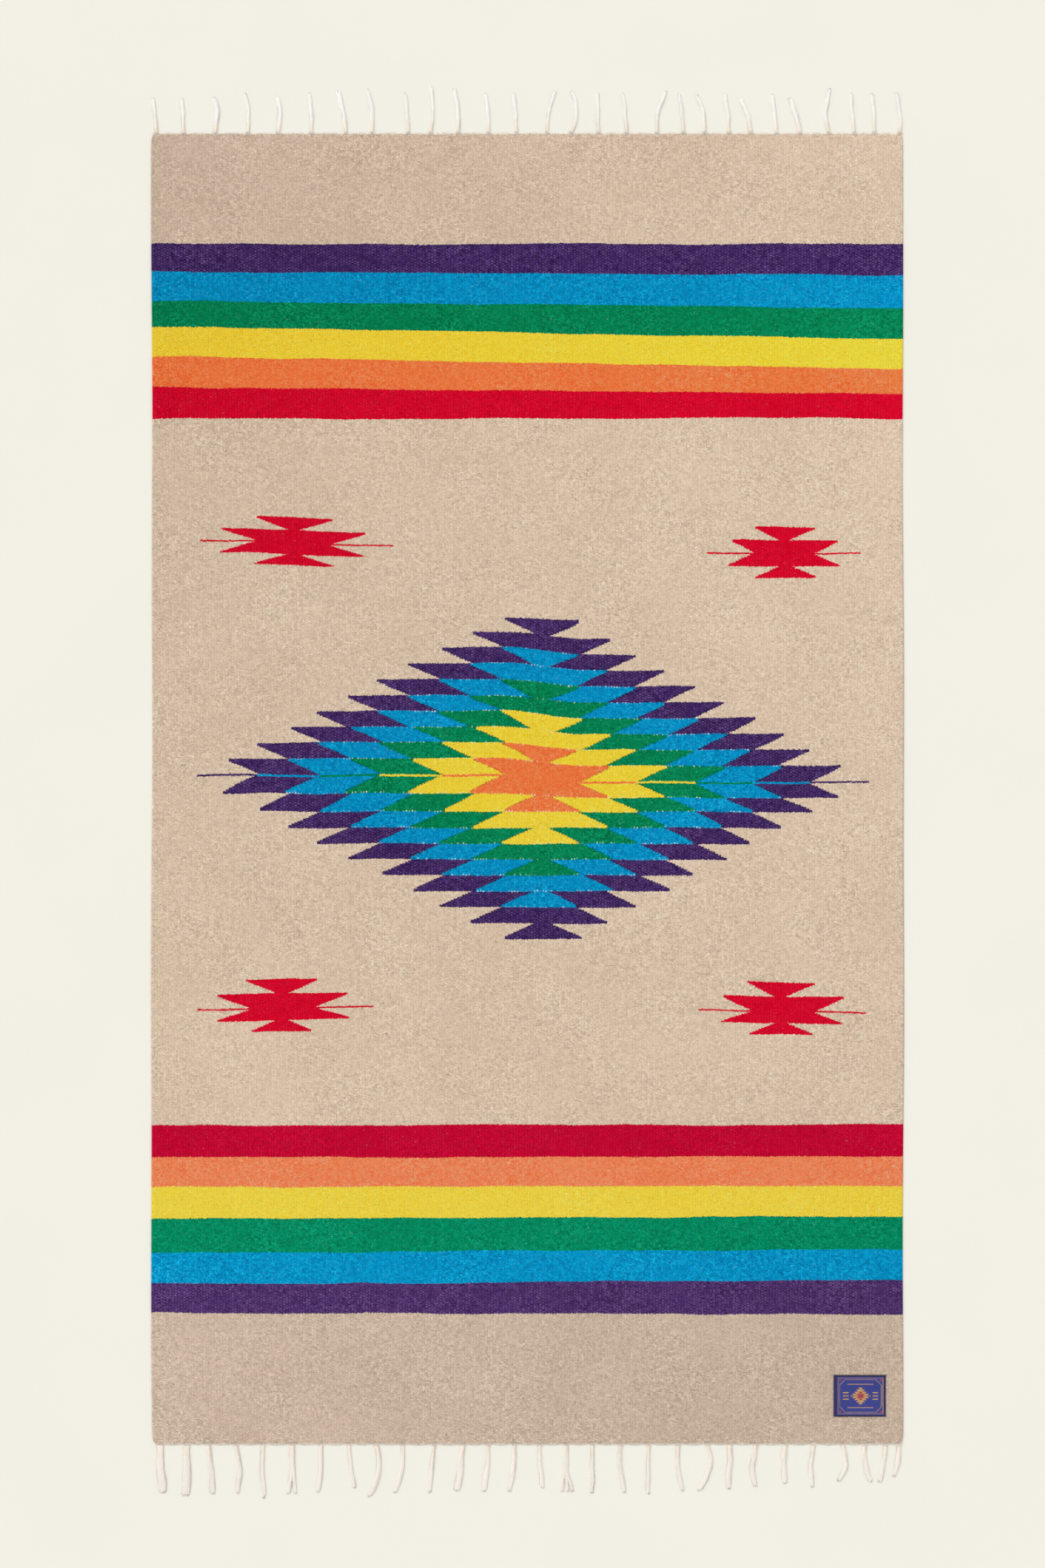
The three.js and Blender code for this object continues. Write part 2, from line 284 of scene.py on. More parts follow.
class Bench:
    """Lays out nodes in one shader tree. Most methods add a node and give back its output."""

    def __init__(self, tree):
        self.tree = tree

    def node(self, kind, **settings):
        made = self.tree.nodes.new(kind)
        for name, value in settings.items():
            setattr(made, name, value)
        return made

    def feed(self, socket, value):
        """Gives a socket another node's output or a plain value."""
        if isinstance(value, bpy.types.NodeSocket):
            self.tree.links.new(value, socket)
        else:
            socket.default_value = value

    def math(self, operation, *values, clamp=False):
        made = self.node("ShaderNodeMath", operation=operation, use_clamp=clamp)
        for socket, value in zip(made.inputs, values):
            self.feed(socket, value)
        return made.outputs["Value"]

    def add(self, a, b):
        return self.math("ADD", a, b)

    def less(self, a, b):
        return self.math("SUBTRACT", a, b)

    def times(self, a, b):
        return self.math("MULTIPLY", a, b)

    def blend(self, share, a, b):
        """A number that goes from a to b as share goes from 0 to 1."""
        made = self.node("ShaderNodeMix", data_type="FLOAT")
        for name, value in (("Factor", share), ("A", a), ("B", b)):
            self.feed(made.inputs[name], value)
        return made.outputs["Result"]

    def blend_colour(self, share, a, b, mode="MIX"):
        made = self.node("ShaderNodeMix", data_type="RGBA", blend_type=mode)
        self.feed(made.inputs[0], share)
        for socket, value in ((made.inputs[6], a), (made.inputs[7], b)):
            self.feed(socket, rgba(value) if isinstance(value, (tuple, list)) else value)
        return made.outputs[2]

    def ramp(self, value, low, high, start=0.0, end=1.0):
        """A number that eases from start to end as value goes from low to high."""
        made = self.node("ShaderNodeMapRange", interpolation_type="SMOOTHSTEP")
        for name, number in zip(("Value", "From Min", "From Max", "To Min", "To Max"),
                                (value, low, high, start, end)):
            self.feed(made.inputs[name], number)
        return made.outputs["Result"]

    def power(self, shade, exponent):
        """A colour raised to a power, channel by channel."""
        made = self.node("ShaderNodeGamma")
        self.feed(made.inputs["Color"], shade)
        self.feed(made.inputs["Gamma"], exponent)
        return made.outputs["Color"]

    def vector(self, operation, a, b):
        made = self.node("ShaderNodeVectorMath", operation=operation)
        self.feed(made.inputs[0], a)
        self.feed(made.inputs["Scale" if operation == "SCALE" else 1], b)
        return made.outputs["Vector"]

    def split(self, vector):
        made = self.node("ShaderNodeSeparateXYZ")
        self.feed(made.inputs[0], vector)
        return made.outputs["X"], made.outputs["Y"]

    def split3(self, vector):
        made = self.node("ShaderNodeSeparateXYZ")
        self.feed(made.inputs[0], vector)
        return made.outputs["X"], made.outputs["Y"], made.outputs["Z"]

    def join(self, x, y, z=0.0):
        made = self.node("ShaderNodeCombineXYZ")
        for name, value in (("X", x), ("Y", y), ("Z", z)):
            self.feed(made.inputs[name], value)
        return made.outputs["Vector"]

    def cloud(self, vector, scale, detail=1.0, bend=0.0, rough=0.5, colour_out=False):
        """Smooth noise, as a number round a half or as three of them."""
        made = self.node("ShaderNodeTexNoise")
        self.feed(made.inputs["Vector"], vector)
        made.inputs["Scale"].default_value = scale
        made.inputs["Detail"].default_value = detail
        made.inputs["Roughness"].default_value = rough
        made.inputs["Distortion"].default_value = bend
        return made.outputs["Color" if colour_out else "Fac"]

    def around_zero(self, vector):
        """Noise that goes both ways from 0, and stays in the cloth's plane."""
        centred = self.vector("SUBTRACT", vector, (0.5, 0.5, 0.5))
        return self.vector("MULTIPLY", centred, (1.0, 1.0, 0.0))

    def chance(self, vector):
        """A random number from 0 to 1 for each value of the vector."""
        made = self.node("ShaderNodeTexWhiteNoise", noise_dimensions="3D")
        self.feed(made.inputs["Vector"], vector)
        return made.outputs["Value"]

    def group(self, name, **values):
        """Places a node group. A value's name is its socket's, with _ for a space."""
        made = self.node("ShaderNodeGroup", node_tree=bpy.data.node_groups[name])
        for key, value in values.items():
            self.feed(made.inputs[key.replace("_", " ")], value)
        return made.outputs

    def place(self):
        """Where a point of the cloth is, in millimetres from the web's middle."""
        made = self.node("ShaderNodeTexCoord")
        return self.vector("SCALE", made.outputs["Object"], 1 / MM)

    def bump(self, height, distance, strength=1.0):
        made = self.node("ShaderNodeBump")
        made.inputs["Strength"].default_value = strength
        made.inputs["Distance"].default_value = distance
        self.feed(made.inputs["Height"], height)
        return made.outputs["Normal"]

    def swatches(self, value, colours):
        """The colour whose number is value, counted from 0, and its alpha."""
        made = self.node("ShaderNodeValToRGB")
        made.color_ramp.interpolation = "CONSTANT"
        elements = made.color_ramp.elements
        while len(elements) < len(colours):
            elements.new(0.5)
        for index, shade in enumerate(colours):
            elements[index].position = index / len(colours)
            elements[index].color = shade if len(shade) == 4 else rgba(shade)
        middle = self.math("DIVIDE", self.add(value, 0.5), float(len(colours)))
        self.feed(made.inputs["Fac"], middle)
        return made.outputs["Color"], made.outputs["Alpha"]


def rgba(shade):
    return (shade[0], shade[1], shade[2], 1.0)


def shader_group(name, inputs, outputs):
    """A new node group, with a bench for its inside, what it is given and what it puts out."""
    tree = bpy.data.node_groups.new(name, "ShaderNodeTree")
    for label, value in inputs.items():
        kind = "NodeSocketFloat" if isinstance(value, float) else "NodeSocketVector"
        if isinstance(value, tuple) and len(value) == 4:
            kind = "NodeSocketColor"
        socket = tree.interface.new_socket(label, in_out="INPUT", socket_type=kind)
        socket.default_value = value
    for label, kind in outputs.items():
        tree.interface.new_socket(label, in_out="OUTPUT", socket_type=f"NodeSocket{kind}")
    bench = Bench(tree)
    given = bench.node("NodeGroupInput").outputs
    result = bench.node("NodeGroupOutput").inputs
    return bench, given, result


def make_beads_group():
    """Weft beads: a weft-faced plain weave, where each bead of weft lies over one warp and the
    beads of neighbouring warps are half a bead apart."""
    bench, given, result = shader_group(
        "Weft beads",
        {"Position": (0.0, 0.0, 0.0), "Rib": 4.6, "Bead": 4.4, "Slub": 0.5},
        {
            "Relief": "Float",
            "Centre": "Vector",
            "Chance": "Float",
            "Gap": "Float",
            "Crown": "Float",
        },
    )
    wobble = bench.around_zero(bench.cloud(given["Position"], 0.3, 2.0, colour_out=True))
    reach = bench.times(given["Slub"], 2.0)
    place = bench.vector("ADD", given["Position"], bench.vector("SCALE", wobble, reach))
    x, y = bench.split(place)
    rib_at = bench.math("DIVIDE", x, given["Rib"])
    rib = bench.math("FLOOR", rib_at)
    offset = bench.times(bench.math("PINGPONG", rib, 1.0), 0.5)
    bead_at = bench.add(bench.math("DIVIDE", y, given["Bead"]), offset)
    bead = bench.math("FLOOR", bead_at)
    crown = bench.math("SINE", bench.times(bench.less(rib_at, rib), math.pi))
    bench.feed(result["Crown"], crown)
    swell = bench.math("SINE", bench.times(bench.less(bead_at, bead), math.pi))
    bench.feed(result["Relief"], bench.math("SQRT", bench.times(crown, swell)))
    centre_x = bench.times(bench.add(rib, 0.5), given["Rib"])
    centre_y = bench.times(bench.add(bench.less(bead, offset), 0.5), given["Bead"])
    bench.feed(result["Centre"], bench.join(centre_x, centre_y))
    bench.feed(result["Chance"], bench.chance(bench.join(rib, bead)))
    open_end = bench.math("POWER", bench.less(1.0, swell), 3.0)
    bench.feed(result["Gap"], bench.times(open_end, bench.times(crown, crown)))


def make_lozenge_group():
    """Stepped lozenge: how many steps inside the figure a point is, or less than 0 outside, and
    how near in millimetres it is to the flat edge of a tier and to a slanting join of colours."""
    bench, given, result = shader_group(
        "Stepped lozenge",
        {
            "X": 0.0,
            "Y": 0.0,
            "Tip": 60.0,
            "Tip Low": 60.0,
            "Waist": 12.0,
            "Step Left": 50.0,
            "Step Right": 50.0,
            "Tiers": 10.0,
            "Rise": 260.0,
            "Fall": 260.0,
            "Line": 2.0,
            "Line Left": 560.0,
            "Line Right": 560.0,
            "Ragged": 4.0,
        },
        {"Level": "Float", "Edge": "Float", "Join": "Float"},
    )
    left = bench.math("LESS_THAN", given["X"], 0.0)
    lower = bench.math("LESS_THAN", given["Y"], 0.0)
    step = bench.blend(left, given["Step Right"], given["Step Left"])
    height = bench.blend(lower, given["Rise"], given["Fall"])
    from_line = bench.less(bench.math("ABSOLUTE", given["Y"]), given["Line"])
    on_line = bench.math("LESS_THAN", from_line, 0.0)
    tier_height = bench.math("DIVIDE", bench.less(height, given["Line"]), given["Tiers"])
    from_line = bench.math("MAXIMUM", from_line, 0.0)
    tier_at = bench.less(given["Tiers"], bench.math("DIVIDE", from_line, tier_height))
    tier = bench.math("FLOOR", tier_at)
    slant = bench.less(tier_at, tier)
    slanted = bench.math("MAXIMUM", bench.less(slant, TIP_BLUNTNESS), 0.0)
    slanted = bench.math("DIVIDE", slanted, 1 - TIP_BLUNTNESS)
    luck = bench.chance(bench.join(tier, bench.add(left, 0.3), bench.add(lower, given["Tip"])))
    luck = bench.times(bench.less(luck, 0.5), bench.times(given["Ragged"], 2.0))
    outermost = bench.math("LESS_THAN", tier, 0.5)
    own_tip = bench.blend(lower, given["Tip"], given["Tip Low"])
    tip = bench.add(given["Tip"], bench.times(tier, step))
    tip = bench.blend(outermost, tip, own_tip)
    slants_by = bench.blend(outermost, step, bench.less(own_tip, given["Waist"]))
    reach = bench.less(tip, bench.times(slanted, slants_by))
    reach = bench.add(reach, luck)
    line_reach = bench.blend(left, given["Line Right"], given["Line Left"])
    reach = bench.blend(on_line, reach, line_reach)
    inside = bench.less(reach, bench.math("ABSOLUTE", given["X"]))
    inside = bench.math("DIVIDE", inside, step)
    most = bench.add(tier, ALMOST_A_STEP)
    level = bench.math("MINIMUM", inside, most)
    bench.feed(result["Level"], level)
    far = bench.times(on_line, FAR)
    bench.feed(result["Edge"], bench.add(bench.times(slant, tier_height), far))
    capped = bench.times(bench.math("GREATER_THAN", inside, most), FAR)
    from_join = bench.times(bench.math("PINGPONG", inside, 1.0), tier_height)
    bench.feed(result["Join"], bench.add(bench.add(from_join, capped), far))


def make_wander_group():
    """Loom wander: where a point of the cloth lies in the weaver's design. The design drifts
    slowly, every rib rounds its edges into a small tooth, and single fibres fray them."""
    bench, given, result = shader_group(
        "Loom wander",
        {"Position": (0.0, 0.0, 0.0), "Drift": 3.0, "Rib": 4.6, "Tooth": 1.0, "Fray": 0.8},
        {"Position": "Vector"},
    )
    place = given["Position"]
    stretched = bench.vector("MULTIPLY", place, (0.008, 0.019, 0.0))
    drift = bench.around_zero(bench.cloud(stretched, 1.0, 3.0, colour_out=True))
    drift = bench.vector("SCALE", drift, bench.times(given["Drift"], 2.0))
    fray = bench.around_zero(bench.cloud(place, 0.3, 3.0, colour_out=True))
    fray = bench.vector("SCALE", fray, bench.times(given["Fray"], 2.0))
    x, y = bench.split(place)
    rib_at = bench.math("DIVIDE", x, given["Rib"])
    rib = bench.math("FLOOR", rib_at)
    middle = bench.times(bench.add(rib, 0.5), given["Rib"])
    crown = bench.math("SINE", bench.times(bench.less(rib_at, rib), math.pi))
    # Neighbouring picks pass over different warps, so every other rib's tooth stands higher.
    side = bench.times(bench.math("PINGPONG", rib, 1.0), 0.3)
    own = bench.times(bench.less(bench.chance(bench.join(rib, 4.0)), 0.5), 0.8)
    tooth = bench.less(bench.add(bench.add(crown, side), own), 0.8)
    tooth = bench.times(tooth, given["Tooth"])
    stepped = bench.join(bench.blend(0.8, x, middle), bench.less(y, tooth))
    bench.feed(result["Position"], bench.vector("ADD", stepped, bench.vector("ADD", drift, fray)))


def make_yarn_group():
    """Spun yarn: colour with slubs, flecks, lint and the shade between neighbouring beads."""
    bench, given, result = shader_group(
        "Spun yarn",
        {
            "Color": (0.8, 0.7, 0.6, 1.0),
            "Position": (0.0, 0.0, 0.0),
            "Relief": 1.0,
            "Chance": 0.5,
            "Heather": 0.12,
            "Deepens": 0.2,
            "Depth": 0.25,
            "Dark Flecks": 0.3,
            "Brightness": 1.0,
            "Lint": 0.5,
            "Lint Color": (0.9, 0.8, 0.75, 1.0),
        },
        {"Color": "Color", "Fuzz": "Float"},
    )
    place = given["Position"]
    # Slubs run along the weft, from a few beads long to a hand's width.
    slubs = bench.cloud(bench.vector("MULTIPLY", place, (0.09, 0.42, 0.42)), 1.0, 3.0)
    # Grains are the twisted weft's own turns: longer across than along, and a little slanted.
    x, y = bench.split(place)
    leaning = bench.join(bench.times(x, 0.3), bench.add(bench.times(y, 0.52), bench.times(x, 0.16)))
    worms = bench.cloud(leaning, 1.0, 2.0, bend=1.2, rough=0.85)
    slow = bench.cloud(place, 0.006, 2.0)
    mixed = bench.times(bench.less(worms, 0.5), 3.2)
    mixed = bench.add(mixed, bench.times(bench.less(slubs, 0.5), 0.5))
    mixed = bench.add(mixed, bench.times(bench.less(given["Chance"], 0.5), 0.35))
    rougher = bench.ramp(bench.cloud(place, 0.011, 2.0), 0.3, 0.7, 0.7, 1.35)
    mixed = bench.times(mixed, bench.times(given["Heather"], rougher))
    # A power keeps the dye's brightest channel, so thin places turn pale and thick ones deep.
    mixed = bench.add(mixed, bench.times(bench.less(slow, 0.5), 0.2))
    mixed = bench.math("MINIMUM", bench.math("MAXIMUM", mixed, -0.8), 0.8)
    in_dye = bench.times(mixed, given["Deepens"])
    dyed = bench.power(given["Color"], bench.less(1.0, in_dye))
    # Painted shade: the colour darkens by Depth where the relief is low, in the furrows between beads.
    painted_furrow_shade = bench.times(bench.less(1.0, given["Relief"]), given["Depth"])
    moved = bench.vector("ADD", place, (7.0, 3.0, 0.0))
    fleck = bench.ramp(bench.cloud(moved, 0.42, 1.0), 0.34, 0.27)
    shade = bench.less(1.0, bench.times(fleck, given["Dark Flecks"]))
    shade = bench.times(shade, bench.less(1.0, painted_furrow_shade))
    shade = bench.times(shade, bench.add(1.0, bench.less(mixed, in_dye)))
    shaded = bench.vector("SCALE", dyed, bench.times(shade, given["Brightness"]))
    # Lint: short pale fibres lying in all directions, thicker in some places.
    bent = bench.around_zero(bench.cloud(place, 0.12, 1.0, colour_out=True))
    bent = bench.vector("SCALE", bent, 9.0)
    cells = bench.node("ShaderNodeTexVoronoi", voronoi_dimensions="2D")
    across = bench.vector("MULTIPLY", bench.vector("ADD", place, bent), (0.7, 1.25, 1.0))
    bench.feed(cells.inputs["Vector"], across)
    cells.inputs["Scale"].default_value = 0.22
    fibre = bench.ramp(cells.outputs["Distance"], 0.05, 0.2, 1.0, 0.0)
    luck, kind, _ = bench.split3(cells.outputs["Color"])
    patchy = bench.ramp(bench.add(luck, bench.times(bench.less(slow, 0.5), 0.6)), 0.6, 1.0)
    lint = bench.times(bench.times(fibre, patchy), given["Lint"])
    paler = bench.power(given["Color"], 0.5)
    paler = bench.blend_colour(bench.ramp(kind, 0.5, 1.0, 0.05, 0.6), paler, given["Lint Color"])
    blended = bench.blend_colour(lint, shaded, paler)
    bench.feed(result["Color"], bench.vector("MINIMUM", blended, (0.98, 0.98, 0.98)))
    bench.feed(result["Fuzz"], worms)


def make_effect_groups():
    for make in (make_beads_group, make_lozenge_group, make_wander_group, make_yarn_group):
        make()


def new_material(name, roughness=0.9, sheen=0.0, sheen_roughness=0.5, specular=0.3):
    """A material with its Principled surface, and a bench for the nodes that feed it."""
    material = bpy.data.materials.new(name)
    material.use_nodes = True
    surface = material.node_tree.nodes["Principled BSDF"]
    surface.inputs["Roughness"].default_value = roughness
    surface.inputs["Sheen Weight"].default_value = sheen
    surface.inputs["Sheen Roughness"].default_value = sheen_roughness
    surface.inputs["Specular IOR Level"].default_value = specular
    return material, Bench(material.node_tree), surface.inputs


# ---------------------------------------------------------------------------------------------
# Shared shapes
# ---------------------------------------------------------------------------------------------


def new_piece(name, vertices, faces, material):
    """A smooth-shaded piece of the object that rides on its one body."""
    mesh = bpy.data.meshes.new(name)
    mesh.from_pydata(vertices, [], faces)
    mesh.polygons.foreach_set("use_smooth", [True] * len(mesh.polygons))
    mesh.materials.append(material)
    mesh.update()
    piece = bpy.data.objects.new(name, mesh)
    bpy.context.scene.collection.objects.link(piece)
    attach(piece, BODY)
    return piece


def lift(x, y):
    """How far the web stands off the floor in its soft waves, in metres."""
    height = bpy.context.scene.serape_web.wave
    roll = noise.noise(Vector((x * 3.1, y * 2.3, 4.0)))
    ripple = noise.noise(Vector((x * 8.0, y * 6.0, 9.0)))
    return height * max(0.0, 0.75 * roll + 0.25 * ripple)


def web_thickness():
    """The web's thickness away from its doubled selvages, which the label's underside clears."""
    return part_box(LABEL_NODE)[0].z - 0.3 * MM


def tube(path, radii, sides, turn=0.0, flatness=1.0):
    """The vertices and faces of a closed tube along a path. A section that isn't round turns by
    the given angle for each metre, as the plies of a yarn do."""
    vertices, faces = [], []
    travelled = 0.0
    for index, (point, radius) in enumerate(zip(path, radii)):
        before = path[max(index - 1, 0)]
        after = path[min(index + 1, len(path) - 1)]
        travelled += (point - before).length
        ahead = (after - before).normalized()
        sideways = ahead.cross(Vector((0, 0, 1))).normalized()
        upward = sideways.cross(ahead)
        for side in range(sides):
            angle = 2 * math.pi * side / sides
            twisted = angle + turn * travelled
            across = sideways * math.cos(twisted) * radius
            over = upward * math.sin(twisted) * radius
            ply = 1 - (1 - flatness) * math.sin(angle) ** 2
            vertices.append(point + (across + over) * ply)
    for ring in range(len(path) - 1):
        for side in range(sides):
            a = ring * sides + side
            b = ring * sides + (side + 1) % sides
            faces.append((a, a + sides, b + sides, b))
    faces.append(tuple(range(sides)))
    faces.append(tuple(reversed(range((len(path) - 1) * sides, len(path) * sides))))
    return vertices, faces


def gather_parts(parts):
    """Joins (vertices, faces) pairs into one."""
    vertices, faces = [], []
    for some_vertices, some_faces in parts:
        start = len(vertices)
        vertices += some_vertices
        faces += [tuple(start + corner for corner in face) for face in some_faces]
    return vertices, faces


# ---------------------------------------------------------------------------------------------
# The web
# ---------------------------------------------------------------------------------------------


def selvages():
    """The web's rows in the CAD solid: their heights, and the left and right edges there."""
    rows = {}
    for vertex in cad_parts[WEB_NODE].data.vertices:
        rows.setdefault(round(vertex.co.y, 5), []).append(vertex.co.x)
    heights = sorted(rows)
    return heights, [min(rows[y]) for y in heights], [max(rows[y]) for y in heights]


def bunch_roots(end):
    """Where each bunch leaves the web at this end, along x."""
    roots = []
    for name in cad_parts:
        if name.startswith(f"tassel_{end}_"):
            roots.append(bunch_stations(name)[0]["at"].x)
    return roots


def web_rows(length_of_web, count):
    """The heights of the web's mesh rows, closer together near its ends."""
    half = length_of_web / 2
    ends = [0.0, 1.2 * MM, 3 * MM, 6 * MM, 11 * MM, 18 * MM]
    start = half - 28 * MM
    middle = [start - 2 * start * i / (count - 1) for i in range(count)]
    return [half - d for d in ends] + middle + [d - half for d in reversed(ends)]


def web_mesh(settings):
    """The web's vertices and faces: a closed shell, ribbed on both faces."""
    low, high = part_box(WEB_NODE)
    ribs = settings.ribs
    rows = np.array(web_rows(high.y - low.y, settings.rows))
    heights, lefts, rights = selvages()
    left = np.interp(rows, heights, lefts)[:, None]
    right = np.interp(rows, heights, rights)[:, None]
    half_width = WEB_WIDTH * MM / 2
    nominal = np.linspace(-half_width, half_width, 2 * ribs + 1)[None, :]
    # Only the outer warps follow the wandering selvage; the others run straight.
    follow = 20 * MM
    near_left = np.clip(1 - (nominal + half_width) / follow, 0, 1) ** 2
    near_right = np.clip(1 - (half_width - nominal) / follow, 0, 1) ** 2
    x = nominal + near_left * (left + half_width) + near_right * (right - half_width)
    y = np.repeat(rows[:, None], x.shape[1], axis=1)

    # Each bunch draws the end in by its own amount, and the web bulges from one bunch to the next.
    end_pull = np.zeros_like(x)
    reach = 24 * MM
    for end, outward in ENDS.items():
        from_end = (high.y - low.y) / 2 - outward * y
        near = np.clip(1 - from_end / (22 * MM), 0, 1) ** 1.5
        roots = np.array(bunch_roots(end))
        number = np.abs(x[..., None] - roots).argmin(axis=-1)
        offset = x - roots[number]
        drawn = 1 - np.sin(math.pi / 2 * np.clip(np.abs(offset) / reach, 0, 1))
        strength = [0.6 + 1.1 * noise.noise(Vector((root * 31, outward, 2.0))) for root in roots]
        drawn *= 1 + np.array(strength)[number]
        x = x - offset * np.clip(drawn, 0, 1) * near * 0.25
        y = y - outward * settings.scallop * drawn * near
        end_pull += near * drawn

    edge = np.minimum(x - left, right - x)
    from_end = (high.y - low.y) / 2 - np.abs(np.repeat(rows[:, None], x.shape[1], axis=1))
    doubled = 1 - np.clip((edge - 6 * MM) / (6 * MM), 0, 1)
    thickness = web_thickness() + 0.5 * MM * doubled
    rounded = np.clip(edge / (1.6 * MM), 0, 1) * np.clip(from_end / (3 * MM) + 0.1, 0, 1)
    thickness = thickness * (0.35 + 0.65 * np.sqrt(rounded))
    furrow = 0.5 * settings.rib_relief * (np.arange(x.shape[1]) % 2 == 0)
    waves = np.array([lift(px, py) for px, py in zip(x.ravel(), y.ravel())]).reshape(x.shape)
    middle = waves + (web_thickness() + 0.5 * MM * doubled) / 2 + 0.3 * MM * end_pull
    top = middle + thickness / 2 - furrow
    bottom = middle - thickness / 2 + furrow - 0.3 * MM * end_pull

    n_rows, n_columns = x.shape
    upper = np.stack([x, y, top], axis=-1).reshape(-1, 3)
    under = np.stack([x, y, np.maximum(bottom, 0)], axis=-1).reshape(-1, 3)
    number = np.arange(n_rows * n_columns).reshape(n_rows, n_columns)
    a, b = number[:-1, :-1].ravel(), number[:-1, 1:].ravel()
    c, d = number[1:, 1:].ravel(), number[1:, :-1].ravel()
    faces = np.stack([a, d, c, b], axis=-1).tolist()
    below = n_rows * n_columns
    faces += np.stack([a + below, b + below, c + below, d + below], axis=-1).tolist()
    rim = number[0, :].tolist() + number[1:, -1].tolist()
    rim += number[-1, -2::-1].tolist() + number[-2:0:-1, 0].tolist()
    for first, second in zip(rim, rim[1:] + rim[:1]):
        faces.append([first, second, second + below, first + below])
    return np.concatenate([upper, under]).tolist(), faces


def weft_habits(name):
    """A colour's heather, peep, lint and deepening as the four channels of a swatch."""
    habits = WEFT_HABITS[name.removeprefix("lower_").removeprefix("upper_")]
    return habits["heather"], habits["peep"], habits["lint"], habits["deepens"]


def band_number(bench, x, y):
    """Which band a point is in, counted from the top end."""
    across = bench.math("DIVIDE", x, WEB_WIDTH)
    count = None
    for edge in BAND_EDGES:
        middle = (edge["left"] + edge["right"]) / 2
        height = bench.math("MULTIPLY_ADD", across, float(edge["right"] - edge["left"]), middle)
        past = bench.math("LESS_THAN", y, height)
        count = past if count is None else bench.add(count, past)
    return count


def place_figure(bench, x, y, figure, drop, **values):
    """A stepped lozenge in the cloth, its right half let down by drop and its left one raised."""
    values = {
        **values,
        "Tip": float(figure["tip"]),
        "Tip_Low": float(figure["tip_low"]),
        "Step_Left": float(figure.get("step_left", figure.get("step"))),
        "Step_Right": float(figure.get("step_right", figure.get("step"))),
        "Rise": float(figure["rise"]),
        "Fall": float(figure["fall"]),
        "Line_Left": float(figure["line_left"]),
        "Line_Right": float(figure["line_right"]),
    }
    along = bench.add(bench.less(y, float(figure["y"])), drop)
    across = bench.less(x, float(figure["x"]))
    return bench.group("Stepped lozenge", X=across, Y=along, **values)


